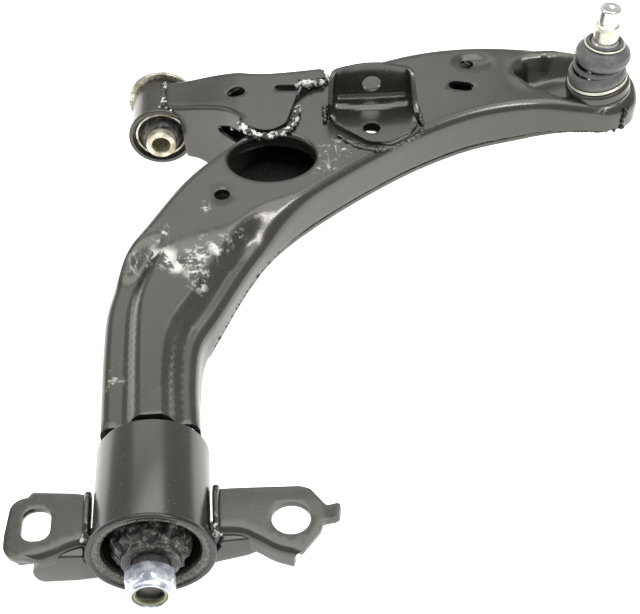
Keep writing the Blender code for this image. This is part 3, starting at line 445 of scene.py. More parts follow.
arm_outline = smooth_path(
    [
        (26, LEG_END_Y), (25.3, 100), (28, 128), (39, 151), (64, 200), (89, 231), (128, 264),
        (170, 293), (212, 313), (250, 319.5), (280, 314), (301, 310.5), (318, 320), (323, 339),
        (317, 355), (300, 371), (275, 383), (240, 390), (210, 391.6), (181, 388), (151, 378.5),
        (118, 361.5), (97, 345), (65, 311), (22, 264), (-4.5, 219), (-19.5, 189), (-26.8, 160),
        (-28, 125), (-27, LEG_END_Y),
    ],
    8,
)
ball_tray = rounded_loop(
    [
        (240, 357, 10), (253, 338, 14), (268, 326.5, 12), (297, 318.5, 10), (316, 326, 8),
        (317, 346, 12), (303, 364, 14), (272, 373, 14), (249, 371, 10),
    ]
)


def flange_end(x, y):
    """The lower edge of the arm's flange: deep along the leg and shallow round the ball joint."""
    return float(6.0 + 9.0 * rise(x, 225, 300) - 10.0 * rise(-y, -175, -100))


def arm_height(places):
    x, y = places.T
    edge = away(places, arm_outline)
    plate = rise(y - 0.32 * x, 178, 200)
    middle = HUMP_HEIGHT + (PLATE_HEIGHT - HUMP_HEIGHT) * plate
    shoulder = 9.5 * (1 - rise(y - 0.36 * x, 183, 208))
    start = 12.5 - 3.0 * rise(x - 0.3 * (y - 160) * (y > 160), -6, 6)
    z = middle - shoulder * (1 - rise(edge, start, start + 9.5))
    dimple = np.hypot((x - 216) / 13.5, (y - 371) / 10)
    z = z - 2.0 * (1 - rise(dimple, 0.6, 1.0))
    seat = np.hypot(x - 41.3, y - 240.8)
    z = z - 0.7 * (1 - rise(seat, 7.5, 11))
    inside = within(places, ball_tray)
    depth = away(places, ball_tray + ball_tray[:1])
    floor = 24.2 + 0.1944 * (x - 297.3)
    z = np.where(inside, z + (floor - z) * rise(depth, 0, 8.5), z)
    bead = np.exp(-(((depth - 3.0) / 4.5) ** 2)) * rise(x, 236, 262) * rise(y, 330, 352)
    return z + np.where(inside, 0, 2.6 * bead)


leg_end = [Vector((x, LEG_END_Y)) for x in (-26.6, -25.5, -23, -20, -17, -14, -11, -8, -5, -2, 1)]
leg_end += [Vector((x, LEG_END_Y)) for x in (4, 7, 10, 13, 16, 19, 22, 24.5, 25.6)]
big_hole = oval(73.5, 276, 27.6, 23.3, 6, 72)
upper_shell = pressed_sheet(
    "arm_upper_pressing",
    [(arm_outline, flange_end), (leg_end, None)],
    arm_height,
    3.4,
    ARM_BEND,
    [
        (big_hole, 3.0, 7.0),
        (oval(41.3, 240.8, 5.0, 5.0, 0, 28), 0, 0),
        (oval(212.3, 371.3, 4.5, 4.5, 0, 26), 0, 0),
        (long_hole(204, 343.4, 17, 10, -15), 0, 0),
        (oval(139, 297, 5.6, 5.6, 0, 28), 0, 0),
        (oval(296.8, 335, 17.7, 17.4, 0, 48), 0, 0),
    ],
)
places = millimetres(upper_shell)
x, y, z = places.T
# Pale streaks, mostly along the leg's sloping crest: partly rubbed paint, partly a painted reflection of the
# glossy crest.
rub_and_sheen_spots = [(22, 183, 30, 16), (35, 195, 31, 14), (51, 204, 32, 10), (26, 170, 29, 11), (46, 178, 30, 11)]
rub_and_sheen_spots += [(3, 208, 32, 10), (-26.7, 99, 12, 12), (-21, 101, 20, 8), (114, 279, 33, 14), (106, 262, 33, 9)]
rub_and_sheen_spots += [(31, 229, 33, 6), (-9, 188, 28, 9), (296, 318, 33, 10), (30, 230, 33, 5)]
paint_share(upper_shell, "wear_and_sheen", near(places, rub_and_sheen_spots) * 0.75)
# Pale chips along the same crest, also partly a painted reflection of its shine.
chip_and_sheen_spots = [(7, 188, 30, 10), (0, 193, 30, 6), (14, 180, 30, 7), (22, 184, 30, 6), (29, 190, 31, 6)]
chip_and_sheen_spots += [(36, 195, 31, 6), (27, 166, 29, 6), (22, 173, 29, 4), (47, 185, 31, 4), (55, 183, 31, 3.5)]
chip_and_sheen_spots += [(48, 173, 30, 3.5), (44, 200, 32, 4)]
paint_share(upper_shell, "chips_and_sheen", near(places, chip_and_sheen_spots))
fit(upper_shell, "arm", "black_paint", black_paint("arm_paint", 0.5, True, 0.9), "arm_upper_shell")


# The lower half of the arm is a flatter plate that closes the shell from below, welded all along the
# edge of the flange. The seam is left rough and is only seen from the sides.
def kept_from_cad(name, material):
    """A piece that stays as the CAD made it, with its own finish."""
    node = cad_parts[name]
    node.data.materials.clear()
    node.data.materials.append(material)
    return node


kept_from_cad("arm_lower_plate", black_paint("lower_plate_paint", 0.25))


def bridge(bm, rings):
    """Walls from each closed ring of corners to the next."""
    for ring, after in zip(rings, rings[1:]):
        for index in range(len(ring)):
            ahead = (index + 1) % len(ring)
            bm.faces.new((ring[index], after[index], after[ahead], ring[ahead]))


def weld_bead(name, route, radius, wobble=0.28, flat=0.8):
    """A lumpy bead of weld along a route of (x, y, z) points."""
    path = smooth_path(route, 10)
    lengths = np.cumsum([0] + [(b - a).length for a, b in zip(path, path[1:])])
    count = max(8, int(lengths[-1] / (radius * 0.42)))
    coordinates = np.array(path)
    stops = np.linspace(0, lengths[-1], count)
    line = [Vector([np.interp(stop, lengths, coordinates[:, axis]) for axis in range(3)]) for stop in stops]
    spots = 12
    bm = bmesh.new()
    rings = []
    for index, point in enumerate(line):
        along = (line[min(index + 1, count - 1)] - line[max(index - 1, 0)]).normalized()
        side = along.cross(Vector((0, 0, 1)))
        side = side.normalized() if side.length > 0.2 else Vector((0, 1, 0))
        over = side.cross(along).normalized()
        end = min(1.0, 0.35 + min(index, count - 1 - index) * 0.3)
        ring = []
        for step in range(spots):
            angle = math.tau * step / spots
            out = side * math.cos(angle) + over * math.sin(angle) * flat
            lump = noise.noise((point + out * radius) * (0.8 / radius)) * wobble * 1.6
            ripple = 0.08 * math.sin(index * 1.7)
            ring.append(bm.verts.new(point + out * radius * end * (1 + lump + ripple)))
        rings.append(ring)
    bridge(bm, rings)
    bm.faces.new(rings[0])
    bm.faces.new(rings[-1][::-1])
    bmesh.ops.recalc_face_normals(bm, faces=bm.faces)
    return mesh_piece(name, bm)


def join(name, pieces):
    """One piece made of several that touch."""
    bm = bmesh.new()
    for piece in pieces:
        bm.from_mesh(piece.data)
        bpy.data.objects.remove(piece)
    return linked(name, bm)


def spatter(name, spots):
    """Small balls of weld metal. Spots are (x, y, z, radius)."""
    bm = bmesh.new()
    for x, y, z, radius in spots:
        ball = bmesh.ops.create_icosphere(bm, subdivisions=2, radius=radius)["verts"]
        for vert in ball:
            vert.co *= 1 + 0.25 * noise.noise(vert.co * 1.3 + Vector((x, y, z)))
            vert.co += Vector((x, y, z))
    return mesh_piece(name, bm)


def seam_route(first, last):
    """The flange's lower edge between two places on the arm's outline."""
    seam = inset_path(arm_outline, 1.2)[first:last:4]
    return [(point.x, point.y, flange_end(point.x, point.y) - 0.7) for point in seam]


tip_route = [(309.6, 313.6, 31), (310.4, 313.0, 26), (309, 312.8, 22), (310, 313.2, 18), (308, 312.4, 14.4)]
seam_weld = join(
    "arm_seam_weld",
    [
        weld_bead("near_seam", seam_route(20, 90), 1.25, 0.5),
        weld_bead("far_seam", seam_route(104, 228), 1.25, 0.5),
        weld_bead("tip_weld", tip_route, 1.7, 0.5),
        spatter("tip_spatter", [(313, 316.2, 29, 1.3), (304, 311.4, 14.4, 1.3), (299, 311, 14.6, 0.9)]),
    ],
)
fit(seam_weld, "arm", "black_paint", black_paint("seam_paint", 0.9))


# The strut that carries the front bush: a channel pressed from the same sheet. Its top lies on the arm's
# plate in a rounded tongue, its sides hang down, and its foot is fitted to the bush's tube. A small flat
# plate closes it from below.
def baked(piece, cutters=()):
    """Cuts the sheet with closed bodies, then fixes the modifiers in its mesh."""
    for cutter in cutters:
        cut = piece.modifiers.new("Cut", "BOOLEAN")
        cut.object = cutter
        cut.operation = "DIFFERENCE"
        cut.solver = "EXACT"
        piece.modifiers.move(len(piece.modifiers) - 1, 1)
    bpy.context.view_layer.update()
    solid = piece.evaluated_get(bpy.context.evaluated_depsgraph_get())
    mesh = bpy.data.meshes.new_from_object(solid)
    mesh.name = piece.name
    piece.modifiers.clear()
    piece.data = mesh
    for cutter in cutters:
        bpy.data.objects.remove(cutter)
    return piece


def plug(outline, depth, axis):
    """A closed body of an outline, for cutting a hole. It reaches the same depth to both sides."""
    bm = bmesh.new()
    near_side = [bm.verts.new((point.x, point.y, -depth)) for point in outline]
    far_side = [bm.verts.new((point.x, point.y, depth)) for point in outline]
    bm.faces.new(near_side)
    bm.faces.new(far_side)
    for index in range(len(outline)):
        after = (index + 1) % len(outline)
        bm.faces.new((near_side[index], near_side[after], far_side[after], far_side[index]))
    bmesh.ops.recalc_face_normals(bm, faces=bm.faces)
    return mesh_piece("plug", bm, axis)


def standing(x, y, z, turn_x=0.0, turn_y=0.0, turn_z=0.0):
    """A place in millimetres, turned about X, then Y, then Z, in degrees."""
    turn = Matrix.Identity(4)
    for degrees, axis in ((turn_x, "X"), (turn_y, "Y"), (turn_z, "Z")):
        turn = Matrix.Rotation(math.radians(degrees), 4, axis) @ turn
    return Matrix.Translation((x, y, z)) @ turn


def strut_height(places):
    x, y = places.T
    climb = np.clip((x - 4) / 50, 0, 1)
    return 21.7 + (36.3 - 21.7) * (climb - 0.06 * np.sin(climb * math.tau) / 2)


near_wall = smooth_path([(5, 348), (12.5, 344), (17, 342), (28, 337), (44, 327.4), (54, 317)], 6)
tongue = rounded_loop(
    [
        (54.5, 315.5, 0), (58, 305, 12), (72, 297, 12), (84, 306, 8), (92, 334, 8), (98, 352, 4),
        (113, 355, 2), (113, 363, 2), (110, 366.5, 0), (60, 340, 0),
    ]
)[:-1]
far_wall = smooth_path(
    [(109, 367.5), (86, 365), (69, 364.6), (52, 367.6), (35, 371.4), (17.5, 375), (5, 378)],
    4,
)
foot = [Vector((5, y)) for y in (376, 372, 368, 364, 360, 356, 352)]
strut = pressed_sheet(
    "front_strut_pressing",
    [
        (near_wall, lambda x, y: 15.0 - 30.0 * float(rise(x, 13, 17)) - 6.0 * float(rise(x, 24, 40))),
        (tongue, None),
        (far_wall, lambda x, y: -12.0 + 18.0 * float(rise(x, 50, 108))),
        (foot, None),
    ],
    strut_height,
    3.0,
    3.4,
    [(oval(52.6, 343, 6.1, 5.4, 0, 32), 0, 0), (long_hole(86.5, 344.5, 17, 7, -3), 0, 0)],
)
wall_slot = plug(oval(0, 0, 14.5, 5.8, 4, 40), 12, standing(50.5, 321.5, 16.5, 90, 0, -38))
baked(strut, [wall_slot])
fit(strut, "arm", "black_paint", black_paint("strut_paint", 0.3), "front_strut")

strut_floor = pressed_sheet(
    "strut_closing_plate",
    [
        (
            rounded_loop(
                [
                    (17, 349, 3), (31, 341.5, 3), (46, 331.5, 3), (66, 329, 3), (66, 360, 4),
                    (28, 365, 3), (17, 369, 3),
                ]
            ),
            None,
        )
    ],
    lambda places: -6.0 - 1.0 * rise(places[:, 0], 20, 40),
    4.0,
    3.0,
)
fit(strut_floor, "arm", "black_paint", black_paint("strut_floor_paint", 0.2))

tongue_weld = weld_bead(
    "tongue_weld",
    [
        (53.5, 311, 35.2), (58, 300.5, 35.4), (65, 295.6, 35.5), (73, 294, 35.3), (81, 297, 35.2),
        (87.5, 305, 35.1), (91.5, 316, 35), (94, 326, 35),
    ],
    2.5,
    0.5,
    0.62,
)
slot_route = [(92, 347.5, 36), (99, 348.6, 36), (106, 349.3, 36), (112.5, 350, 35.6)]
slot_weld = weld_bead("slot_weld", slot_route, 2.6, 0.6)
end_weld = weld_bead("end_weld", [(112.5, 351, 35), (114.5, 357, 34.4), (114, 363, 34)], 1.6, 0.5)
drips = [(60, 297.5, 37, 1.5), (70, 293.5, 37, 1.4), (77, 294.6, 36.6, 1.2), (88, 303, 36.8, 1.3)]
drips += [(66, 291.5, 34.4, 1.1), (83, 295.5, 34.4, 1.0), (95, 352, 37, 0.9), (49, 308, 32, 1.2)]
strut_welds = join("strut_welds", [tongue_weld, slot_weld, end_weld, spatter("strut_spatter", drips)])
weld_paint = Finish("weld_paint", (0.03, 0.03, 0.028), 0.25, IOR=1.52)
bright = weld_paint.grain(170, 5, 0.62).between(0.49, 0.56)
weld_color = weld_paint.blend(bright, (0.03, 0.03, 0.027), (0.66, 0.66, 0.61))
lumpy = weld_paint.bump(weld_paint.grain(420, 3), 0.0008, 0.8)
weld_paint.feed(Base_Color=weld_color, Normal=lumpy)
fit(strut_welds, "arm", "black_paint", weld_paint.material, "strut_weld")


# The front bush, on the pivot axis: a short tube welded under the strut's foot, with a rolled rim, and
# pressed into it from the front a zinc-plated sleeve with a flange, rubber, and an inner sleeve.
def lathe(name, corners, axis, steps=96, trim=None, lumps=None, sharp=38):
    """A turned solid. Corners are (radius, height, rounding) round its section."""
    section = []
    for index, (radius, height, rounding) in enumerate(corners):
        corner = Vector((radius, height))
        before = Vector(corners[index - 1][:2]) - corner
        after = Vector(corners[(index + 1) % len(corners)][:2]) - corner
        if rounding <= 0 or before.length < 1e-6 or after.length < 1e-6:
            section.append(corner)
            continue
        half = before.angle(after) / 2
        reach = min(rounding / math.tan(half), before.length * 0.49, after.length * 0.49)
        start = corner + before.normalized() * reach
        end = corner + after.normalized() * reach
        for step in range(5):
            t = step / 4
            section.append(start * (1 - t) ** 2 + corner * 2 * t * (1 - t) + end * t**2)
    bm = bmesh.new()
    rings = []
    for radius, height in section:
        if radius < 1e-6:
            rings.append([bm.verts.new((0, 0, height))] * steps)
            continue
        ring = []
        for step in range(steps):
            angle = math.tau * step / steps
            reach = min(radius, trim(angle)) if trim else radius
            place = Vector((reach * math.cos(angle), reach * math.sin(angle), height))
            if lumps:
                place += lumps(place)
            ring.append(bm.verts.new(place))
        rings.append(ring)
    for index, ring in enumerate(rings):
        after = rings[(index + 1) % len(rings)]
        if ring[0] is ring[1] and after[0] is after[1]:
            continue
        for step in range(steps):
            ahead = (step + 1) % steps
            loop = [ring[step], after[step], after[ahead], ring[ahead]]
            bm.faces.new([vert for place, vert in enumerate(loop) if vert not in loop[:place]])
    bmesh.ops.recalc_face_normals(bm, faces=bm.faces)
    made = mesh_piece(name, bm, axis)
    made.data.set_sharp_from_angle(angle=math.radians(sharp))
    return made


forward = standing(0, 0, 0, -90)
front_tube = lathe(
    "front_bush_shell",
    [
        (19.8, 385, 0.8), (19.8, 348.6, 2.5), (22.1, 346.4, 1.4), (22.1, 344, 1.2), (19.4, 344, 0.8),
        (17.8, 347, 1.5), (17.8, 385, 0.8),
    ],
    forward,
)
fit(front_tube, "arm", "black_paint", black_paint("front_tube_paint", 0.55), "front_bush_tube")
long_route = [(3, y, 21.2) for y in (350, 357, 364, 371, 379)]
tube_weld = join(
    "front_tube_welds",
    [
        weld_bead("long_bead", long_route, 1.9, 0.5),
        spatter("bush_spatter", [(1, 348.4, 21.8, 1.6), (4.5, 347.6, 21.2, 1.9), (8, 346.6, 20, 1.5)]),
    ],
)
fit(tube_weld, "arm", "black_paint", weld_paint.material, "front_tube_weld")

yellow_zinc = Finish("yellow_zinc", (0.5, 0.46, 0.33), 0.42, 0.75)
mottle = yellow_zinc.grain(160, 5, 0.65).between(0.4, 0.62)
tarnish = yellow_zinc.blend(mottle, (0.27, 0.25, 0.17), (0.72, 0.7, 0.6))
pitted = yellow_zinc.specks(520).between(0.32, 0.12)
tarnish = yellow_zinc.blend(pitted * 0.7, tarnish, (0.12, 0.11, 0.08))
yellow_zinc.feed(Base_Color=tarnish, Normal=yellow_zinc.bump(mottle, 0.00012, 0.5))
front_flange = lathe(
    "front_bush_flanged_sleeve",
    [
        (23.4, 388.5, 0.9), (23.4, 385.3, 0.9), (17.5, 385.3, 0.3), (17.5, 346.5, 0.5),
        (15.8, 346.5, 0.5), (15.8, 388.5, 0.5),
    ],
    forward,
)
fit(front_flange, "arm", "yellow_zinc_plate", yellow_zinc.material, "front_bush_outer_sleeve")


def dull_skin(name, chalk=0.35, base=(0.012, 0.0115, 0.011), gloss=0.5, dusted=None):
    """A dull skin, such as moulded rubber, or the rear pin's near-black skin that is painted shade. dusted
    names the share that is chalky.
    """
    skin = Finish(name, base, gloss)
    chalky = skin.grain(310, 6, 0.72).between(0.49, 0.64) * chalk
    chalky = chalky + skin.grain(120, 4).between(0.45, 0.7) * (chalk * 0.3)
    if dusted:
        chalky = chalky * skin.painted(dusted)
    color = skin.blend(chalky, base, (0.27, 0.255, 0.22))
    return skin.feed(
        Base_Color=color,
        Roughness=gloss + chalky * 0.35,
        Normal=skin.bump(skin.grain(520, 4), 0.0006, 0.4),
    )


front_rubber = lathe(
    "front_bush_rubber_ring",
    [
        (11.9, 391.5, 0.8), (15.5, 387.5, 1.2), (15.5, 349, 0.6), (13.8, 347.4, 0.8), (12.9, 343, 0.8),
        (12.1, 341.0, 0.6), (10.2, 340.5, 0.3), (10.2, 391.5, 0.3),
    ],
    forward,
)
fit(front_rubber, "arm", "bush_rubber", dull_skin("front_rubber", 0.5), "front_bush_rubber")

cream_zinc = Finish("cream_zinc", (0.66, 0.62, 0.48), 0.34, 0.6)
warm = cream_zinc.grain(120, 4).between(0.35, 0.65)
cream_color = cream_zinc.blend(warm, (0.34, 0.3, 0.2), (0.72, 0.69, 0.57))
cream_zinc.feed(Base_Color=cream_color, Normal=cream_zinc.bump(cream_zinc.grain(500), 0.0001, 0.4))
front_inner = lathe(
    "front_bush_inner_tube",
    [(10, 397.5, 0.6), (10, 335, 0.7), (6.2, 335, 0.7), (6.2, 397.5, 0.6)],
    forward,
)
fit(front_inner, "front_sleeve", "yellow_zinc_plate", cream_zinc.material, "front_bush_inner_sleeve")


# The link bracket on the arm's plate, like a small chair: a seat with a bolt hole, a step at its back,
# a tall back with a second hole, and two sides that fall away towards the front.
def link_seat_height(places):
    x, y = places.T
    seat = 36.2 - 0.9 * rise(-y, -300, -286)
    step = 320.5 - 1.6 * np.cos((x - 141) / 9)
    return seat + 1.9 * rise(y, step - 2.5, step)


link_walls = [(170.5, 306), (169.5, 319), (168.5, 326.5), (164.5, 331), (155, 331), (141, 331), (128, 331)]
link_walls += [(118.5, 331), (114.2, 326.5), (112.5, 320), (111.5, 313)]
link_walls = inset_path(smooth_path(link_walls, 5), 3.0)
link_front = rounded_loop(
    [
        (113.4, 311, 0), (116, 303, 3), (123, 296, 6), (136, 284, 9), (149, 282.6, 12), (163, 291, 12),
        (169, 299, 4), (168, 305, 0),
    ],
    5,
)


def link_top(x, y):
    side = 40.3 + 17.0 * float(rise(y, 305, 327))
    return side + 6.0 * (1 - ((x - 141.5) / 28) ** 2) * float(rise(y, 321, 326))


link_bracket = pressed_sheet(
    "link_bracket_pressing",
    [(link_walls, link_top), (link_front, None)],
    link_seat_height,
    2.6,
    3.2,
    [(oval(139, 297, 5.6, 5.2, 0, 32), 0, 0)],
    up=True,
)
baked(link_bracket, [plug(oval(0, 0, 6.2, 6.0, 0, 32), 8, standing(141.5, 329, 48.5, 90))])
fit(link_bracket, "arm", "black_paint", black_paint("link_paint", 0.22), "link_bracket")
link_weld_path = [(116.5, 296, 33.6), (126, 284.6, 33.4), (135, 279.2, 33.3), (145, 278.6, 33.3)]
link_weld_path += [(155, 281.6, 33.2), (166, 289, 33.2), (173, 297, 33.2)]
link_drops = [(109.6, 309.4, 34.2, 1.7), (172.6, 302, 34.2, 1.6), (170.8, 325.8, 35.6, 1.5)]
link_weld = join(
    "link_bracket_welds",
    [
        weld_bead("seat_bead", link_weld_path, 1.9, 0.45, 0.55),
        weld_bead("left_bead", [(110.6, 312, 34), (110.2, 319, 34), (111, 326, 34)], 1.7, 0.5, 0.9),
        weld_bead("right_bead", [(172, 303, 34), (171.3, 312, 34), (170.8, 324, 34)], 1.7, 0.5, 0.9),
        spatter("link_spatter", link_drops),
    ],
)
fit(link_weld, "arm", "black_paint", black_paint("link_weld_paint", 0.9), "link_bracket_weld")


# The pin that the rear bush turns on is welded into the leg's open end. Only its threaded nose shows,
# between the rubber and the nut.
bare_steel = Finish("bare_steel", (0.5, 0.49, 0.46), 0.42, 1.0)
stain = bare_steel.grain(95, 5, 0.6).between(0.4, 0.66)
steel_color = bare_steel.blend(stain, (0.16, 0.15, 0.13), (0.62, 0.61, 0.58))
bare_steel.feed(Base_Color=steel_color, Roughness=0.3 + stain * 0.3)
# The pin is coloured near black as painted shade, so its nose reads dark inside the nut's hole and in the gap
# beside it.
kept_from_cad("rear_pin", dull_skin("pin_painted_shade", 0.15, (0.035, 0.034, 0.032), 0.3))


# The rear bush: a welded tube, pressed into it a sleeve with a rolled flange, then rubber with voids
# beside a lumpy moulded cone, and the inner sleeve on the pin.
rear_tube = lathe(
    "rear_bush_shell",
    [(30, 64.8, 1.0), (30, 2.8, 0.6), (27, 2.8, 0.3), (27, 64.8, 0.8)],
    forward,
    144,
)
places = millimetres(rear_tube)
scrapes = [(14, 19, 26.5, 8), (17, 27, 24.7, 7), (12, 14, 27.5, 5), (16, 36, 25.4, 6), (10, 25, 28.3, 6)]
scrapes += [(-16, 30, 25.4, 4), (-10, 44, 28.3, 4), (6, 8, 29.4, 4)]
paint_share(rear_tube, "wear_and_sheen", near(places, [(-6, 38, 29, 20), (20, 40, 22, 12)]) * 0.3)
paint_share(rear_tube, "chips_and_sheen", near(places, scrapes))
fit(rear_tube, "rear_mount", "black_paint", black_paint("rear_tube_paint", 0.4, True, 0.6), "rear_bush_tube")
rear_sleeve = lathe(
    "rear_bush_flanged_sleeve",
    [
        (26.7, 63.8, 0.5), (26.7, 2.5, 0.2), (33, 2.5, 0.8), (33, 0, 1.1), (30.4, 0.0, 0.7),
        (29.4, 1.3, 0.6), (27.6, 1.3, 0.6), (25.6, 2.6, 0.8), (24.5, 4.6, 1.0), (24.5, 63.8, 0.5),
    ],
    forward,
    144,
)
ring_paint = Finish("ring_paint", (0.02, 0.019, 0.017), 0.34)
band = ring_paint.grain(1100, 4, 0.66).between(0.42, 0.62) * ring_paint.painted("speckled")
speckle = ring_paint.blend(band, (0.016, 0.015, 0.0135), (0.22, 0.205, 0.17))
rough_ring = ring_paint.bump(ring_paint.grain(900, 4) * ring_paint.painted("speckled"), 0.0004, 0.7)
ring_paint.feed(Base_Color=speckle, Roughness=0.22 + band * 0.4, Normal=rough_ring)
places = millimetres(rear_sleeve)
reach = np.hypot(places[:, 0], places[:, 2])
inner_band = rise(reach, 25.2, 26.0) * (1 - rise(reach, 29.2, 30.0)) * (1 - rise(places[:, 1], 2, 4))
paint_share(rear_sleeve, "speckled", inner_band)
fit(rear_sleeve, "rear_mount", "black_paint", ring_paint.material, "rear_bush_outer_sleeve")


# noise_vector starts from the clock unless it is seeded, and the rubber is the same in every run.
noise.seed_set(1)


def moulded(place):
    """Lumps on the front of the rubber's cone, none on its outside."""
    share = float((1 - rise(math.hypot(place.x, place.y), 21.5, 23.5)) * (1 - rise(place.z, 12, 16)))
    share *= float(rise(math.hypot(place.x, place.y), 15.4, 17))
    return noise.noise_vector(place * 0.26) * (2.6 * share) + noise.noise_vector(place * 0.8) * (0.8 * share)


rear_rubber = lathe(
    "rear_bush_rubber_ring",
    [
        (16.8, 58.8, 1.0), (24.2, 50.8, 1.5), (24.2, 17, 0.8), (21.4, 14.5, 2.0), (19.6, 5.5, 2.0),
        (18.4, 1.5, 1.5), (17.2, -1.4, 0.8), (15.3, -2.5, 0.3), (15.3, 58.8, 0.3),
    ],
    forward,
    120,
    lumps=moulded,
)
places = millimetres(rear_rubber)
reach = np.hypot(places[:, 0], places[:, 2])
paint_share(rear_rubber, "dusted", (1 - rise(reach, 20.2, 22.5)) * (0.35 + 0.65 * rise(places[:, 2], -6, 8)))
rear_rubber_skin = dull_skin("rear_rubber", 1.0, dusted="dusted")
fit(rear_rubber, "rear_mount", "bush_rubber", rear_rubber_skin, "rear_bush_rubber")
rear_inner = lathe(
    "rear_bush_inner_tube",
    [(15, 66.7, 0.5), (15, -5, 1.0), (9.8, -5, 0.5), (9.8, 66.7, 0.5)],
    forward,
)
sleeve_skin = dull_skin("sleeve_skin", 0.8, (0.03, 0.028, 0.026), 0.42)
fit(rear_inner, "arm", "zinc_plate", sleeve_skin, "rear_bush_inner_sleeve")


# The rear bush's bracket: one plate under the tube with an ear to each side, pressed so that each ear's
# front edge bends down and its inner edge stands up beside the tube, with a weld at each foot.
left_rest = [(-31.7, 40, 1), (-41, 42, 6), (-62.5, 44, 2), (-64.5, 41, 2), (-73, 39, 8), (-74.8, 18, 20)]
left_rest += [(-74.5, 3, 9), (-58, 2.6, 0), (-45, 12, 0)]
slot_corners = [(-66.5, 13.05), (-51.5, 13.05), (-51.5, 33.55), (-66.5, 33.55)]
left_slot = rounded_loop([(x, y, 6.5) for x, y in slot_corners], 8)
left_ear = pressed_sheet(
    "left_ear_pressing",
    [
        (smooth_path([(-56, 2.7), (-49, 5), (-42, 8.5), (-31.7, 11.5)], 5), lambda x, y: -8.5),
        (rounded_loop(left_rest, 6)[:-2], None),
    ],
    lambda places: -0.6 * rise(-places[:, 0], 66, 76),
    3.0,
    4.5,
    [(left_slot, 0, 0)],
    thickness=3.5,
    edge=0.5,
)
fit(left_ear, "rear_mount", "black_paint", black_paint("left_ear_paint", 0.4), "bracket_left_ear")
right_rest = [(73.5, -3.2, 0), (77, -1, 6), (86, 10, 6), (88, 15.5, 2), (95, 15, 3), (97.5, 25, 2)]
right_rest += [(90, 25, 3), (82, 37, 5), (77, 39, 4), (45, 40, 6), (31.7, 40, 1), (45, 14, 0)]
right_ear = pressed_sheet(
    "right_ear_pressing",
    [
        (smooth_path([(31.7, 13), (45, 12), (53, 7.3), (62, 1), (71.5, -2.9)], 5), lambda x, y: -12.5),
        (rounded_loop(right_rest, 6)[:-1], None),
    ],
    lambda places: 2.2 * rise(places[:, 0], 88, 97) - 0.3 * rise(places[:, 1], 30, 40),
    3.0,
    4.5,
    [(oval(71.2, 18.5, 10.1, 10.1, 0, 48), 0, 0)],
    thickness=3.5,
    edge=0.5,
)
fit(right_ear, "rear_mount", "black_paint", black_paint("right_ear_paint", 0.4), "bracket_right_ear")


def upright(name, side):
    """The raised inner edge of an ear, curled where it meets the tube."""
    bm = bmesh.new()
    rings = []
    for step in range(19):
        share = step / 18
        y = 13.8 + 25.5 * share
        lean = 0.9 * math.sin(share * math.pi)
        top = 6.4 - 2.2 * float(rise(share, 0.75, 1.0)) - 2.6 * float(1 - rise(share, 0, 0.22))
        outer, inner = 34.9 - lean * 0.3, 31.3 - lean * 0.2
        section = [(outer + 1.5, -2.6), (outer + 0.5, -0.6), (outer, 1.2), (outer, top - 1.1)]
        section += [(outer - 0.9, top), (inner + 0.9, top), (inner, top - 0.9), (inner, -2.6)]
        rings.append([bm.verts.new((side * x, y, z)) for x, z in section])
    bridge(bm, rings)
    bm.faces.new(rings[0])
    bm.faces.new(rings[-1])
    bmesh.ops.recalc_face_normals(bm, faces=bm.faces)
    made = mesh_piece(name, bm)
    made.data.set_sharp_from_angle(angle=math.radians(50))
    return fit(made, "rear_mount", "black_paint", left_ear.data.materials[0])


upright("left_upright", -1)
upright("right_upright", 1)

cradle = kept_from_cad("bracket_cradle", black_paint("cradle_paint", 0.5))
web_outline = [(-46, -4.2, 2), (-56, -9, 8), (-63.5, -19, 7), (-59, -26.5, 5), (-40, -25.5, 8), (-27, -23, 1)]
web_outline += [(-34.2, -8, 1), (-34.4, -4.2, 1)]


def web(name, outline, y_front, y_back, bulge):
    """The bracket's plate where it dips under an ear towards the tube, with rounded edges."""
    loop = rounded_loop(outline, 6)
    centre = sum(loop, Vector((0, 0))) / len(loop)
    bm = bmesh.new()
    rings = []
    front_edge = [(y_front + 1.2, 0.0), (y_front + 0.35, 0.45), (y_front, 1.3)]
    for y, shrink in [*front_edge, (y_back, 1.3), (y_back + 1, 0.0)]:
        ring = []
        for point in loop:
            out = point - centre
            moved = point - out.normalized() * shrink
            ring.append(bm.verts.new((moved.x, y + bulge * (abs(moved.x) - 40) * 0.05, moved.y)))
        rings.append(ring)
    order = [rings[2], rings[1], rings[0], rings[4], rings[3]]
    bridge(bm, order)
    bm.faces.new(order[0])
    bm.faces.new(order[-1])
    bmesh.ops.recalc_face_normals(bm, faces=bm.faces)
    made = mesh_piece(name, bm)
    made.data.set_sharp_from_angle(angle=math.radians(50))
    return fit(made, "rear_mount", "black_paint", cradle.data.materials[0])


web("left_web", web_outline, 5.0, 18.4, 1.0)
web(
    "right_web",
    [(50, -4.2, 2), (58, -6, 3), (61, -12.5, 6), (49, -19, 12), (27, -23, 1), (34.2, -8, 1), (34.4, -4.2, 1)],
    9.5,
    18.4,
    1.0,
)
for side, node in ((-1, "bracket_weld_left"), (1, "bracket_weld_right")):
    drops = [(side * 33.2, 12.4, 0.8, 2.0), (side * 34.6, 12.0, -0.6, 1.6), (side * 32.2, 11.4, -0.4, 1.7)]
    route = [(side * 33.4, 12.2, -1.5), (side * 33.0, 12.6, 2.5), (side * 32.6, 13.6, 5.2)]
    welds = [weld_bead("foot_bead", route, 1.5, 0.6), spatter("foot_drops", drops)]
    foot_welds = join("foot_welds_" + ("left" if side < 0 else "right"), welds)
    fit(foot_welds, "rear_mount", "black_paint", weld_paint.material, node)


# The nut on the rear pin: zinc-plated steel, domed, with a collar that holds a nylon locking ring.
APOTHEM = 12.1


def hexagon(angle):
    return APOTHEM / math.cos((angle + math.pi / 6) % (math.pi / 3) - math.pi / 6)


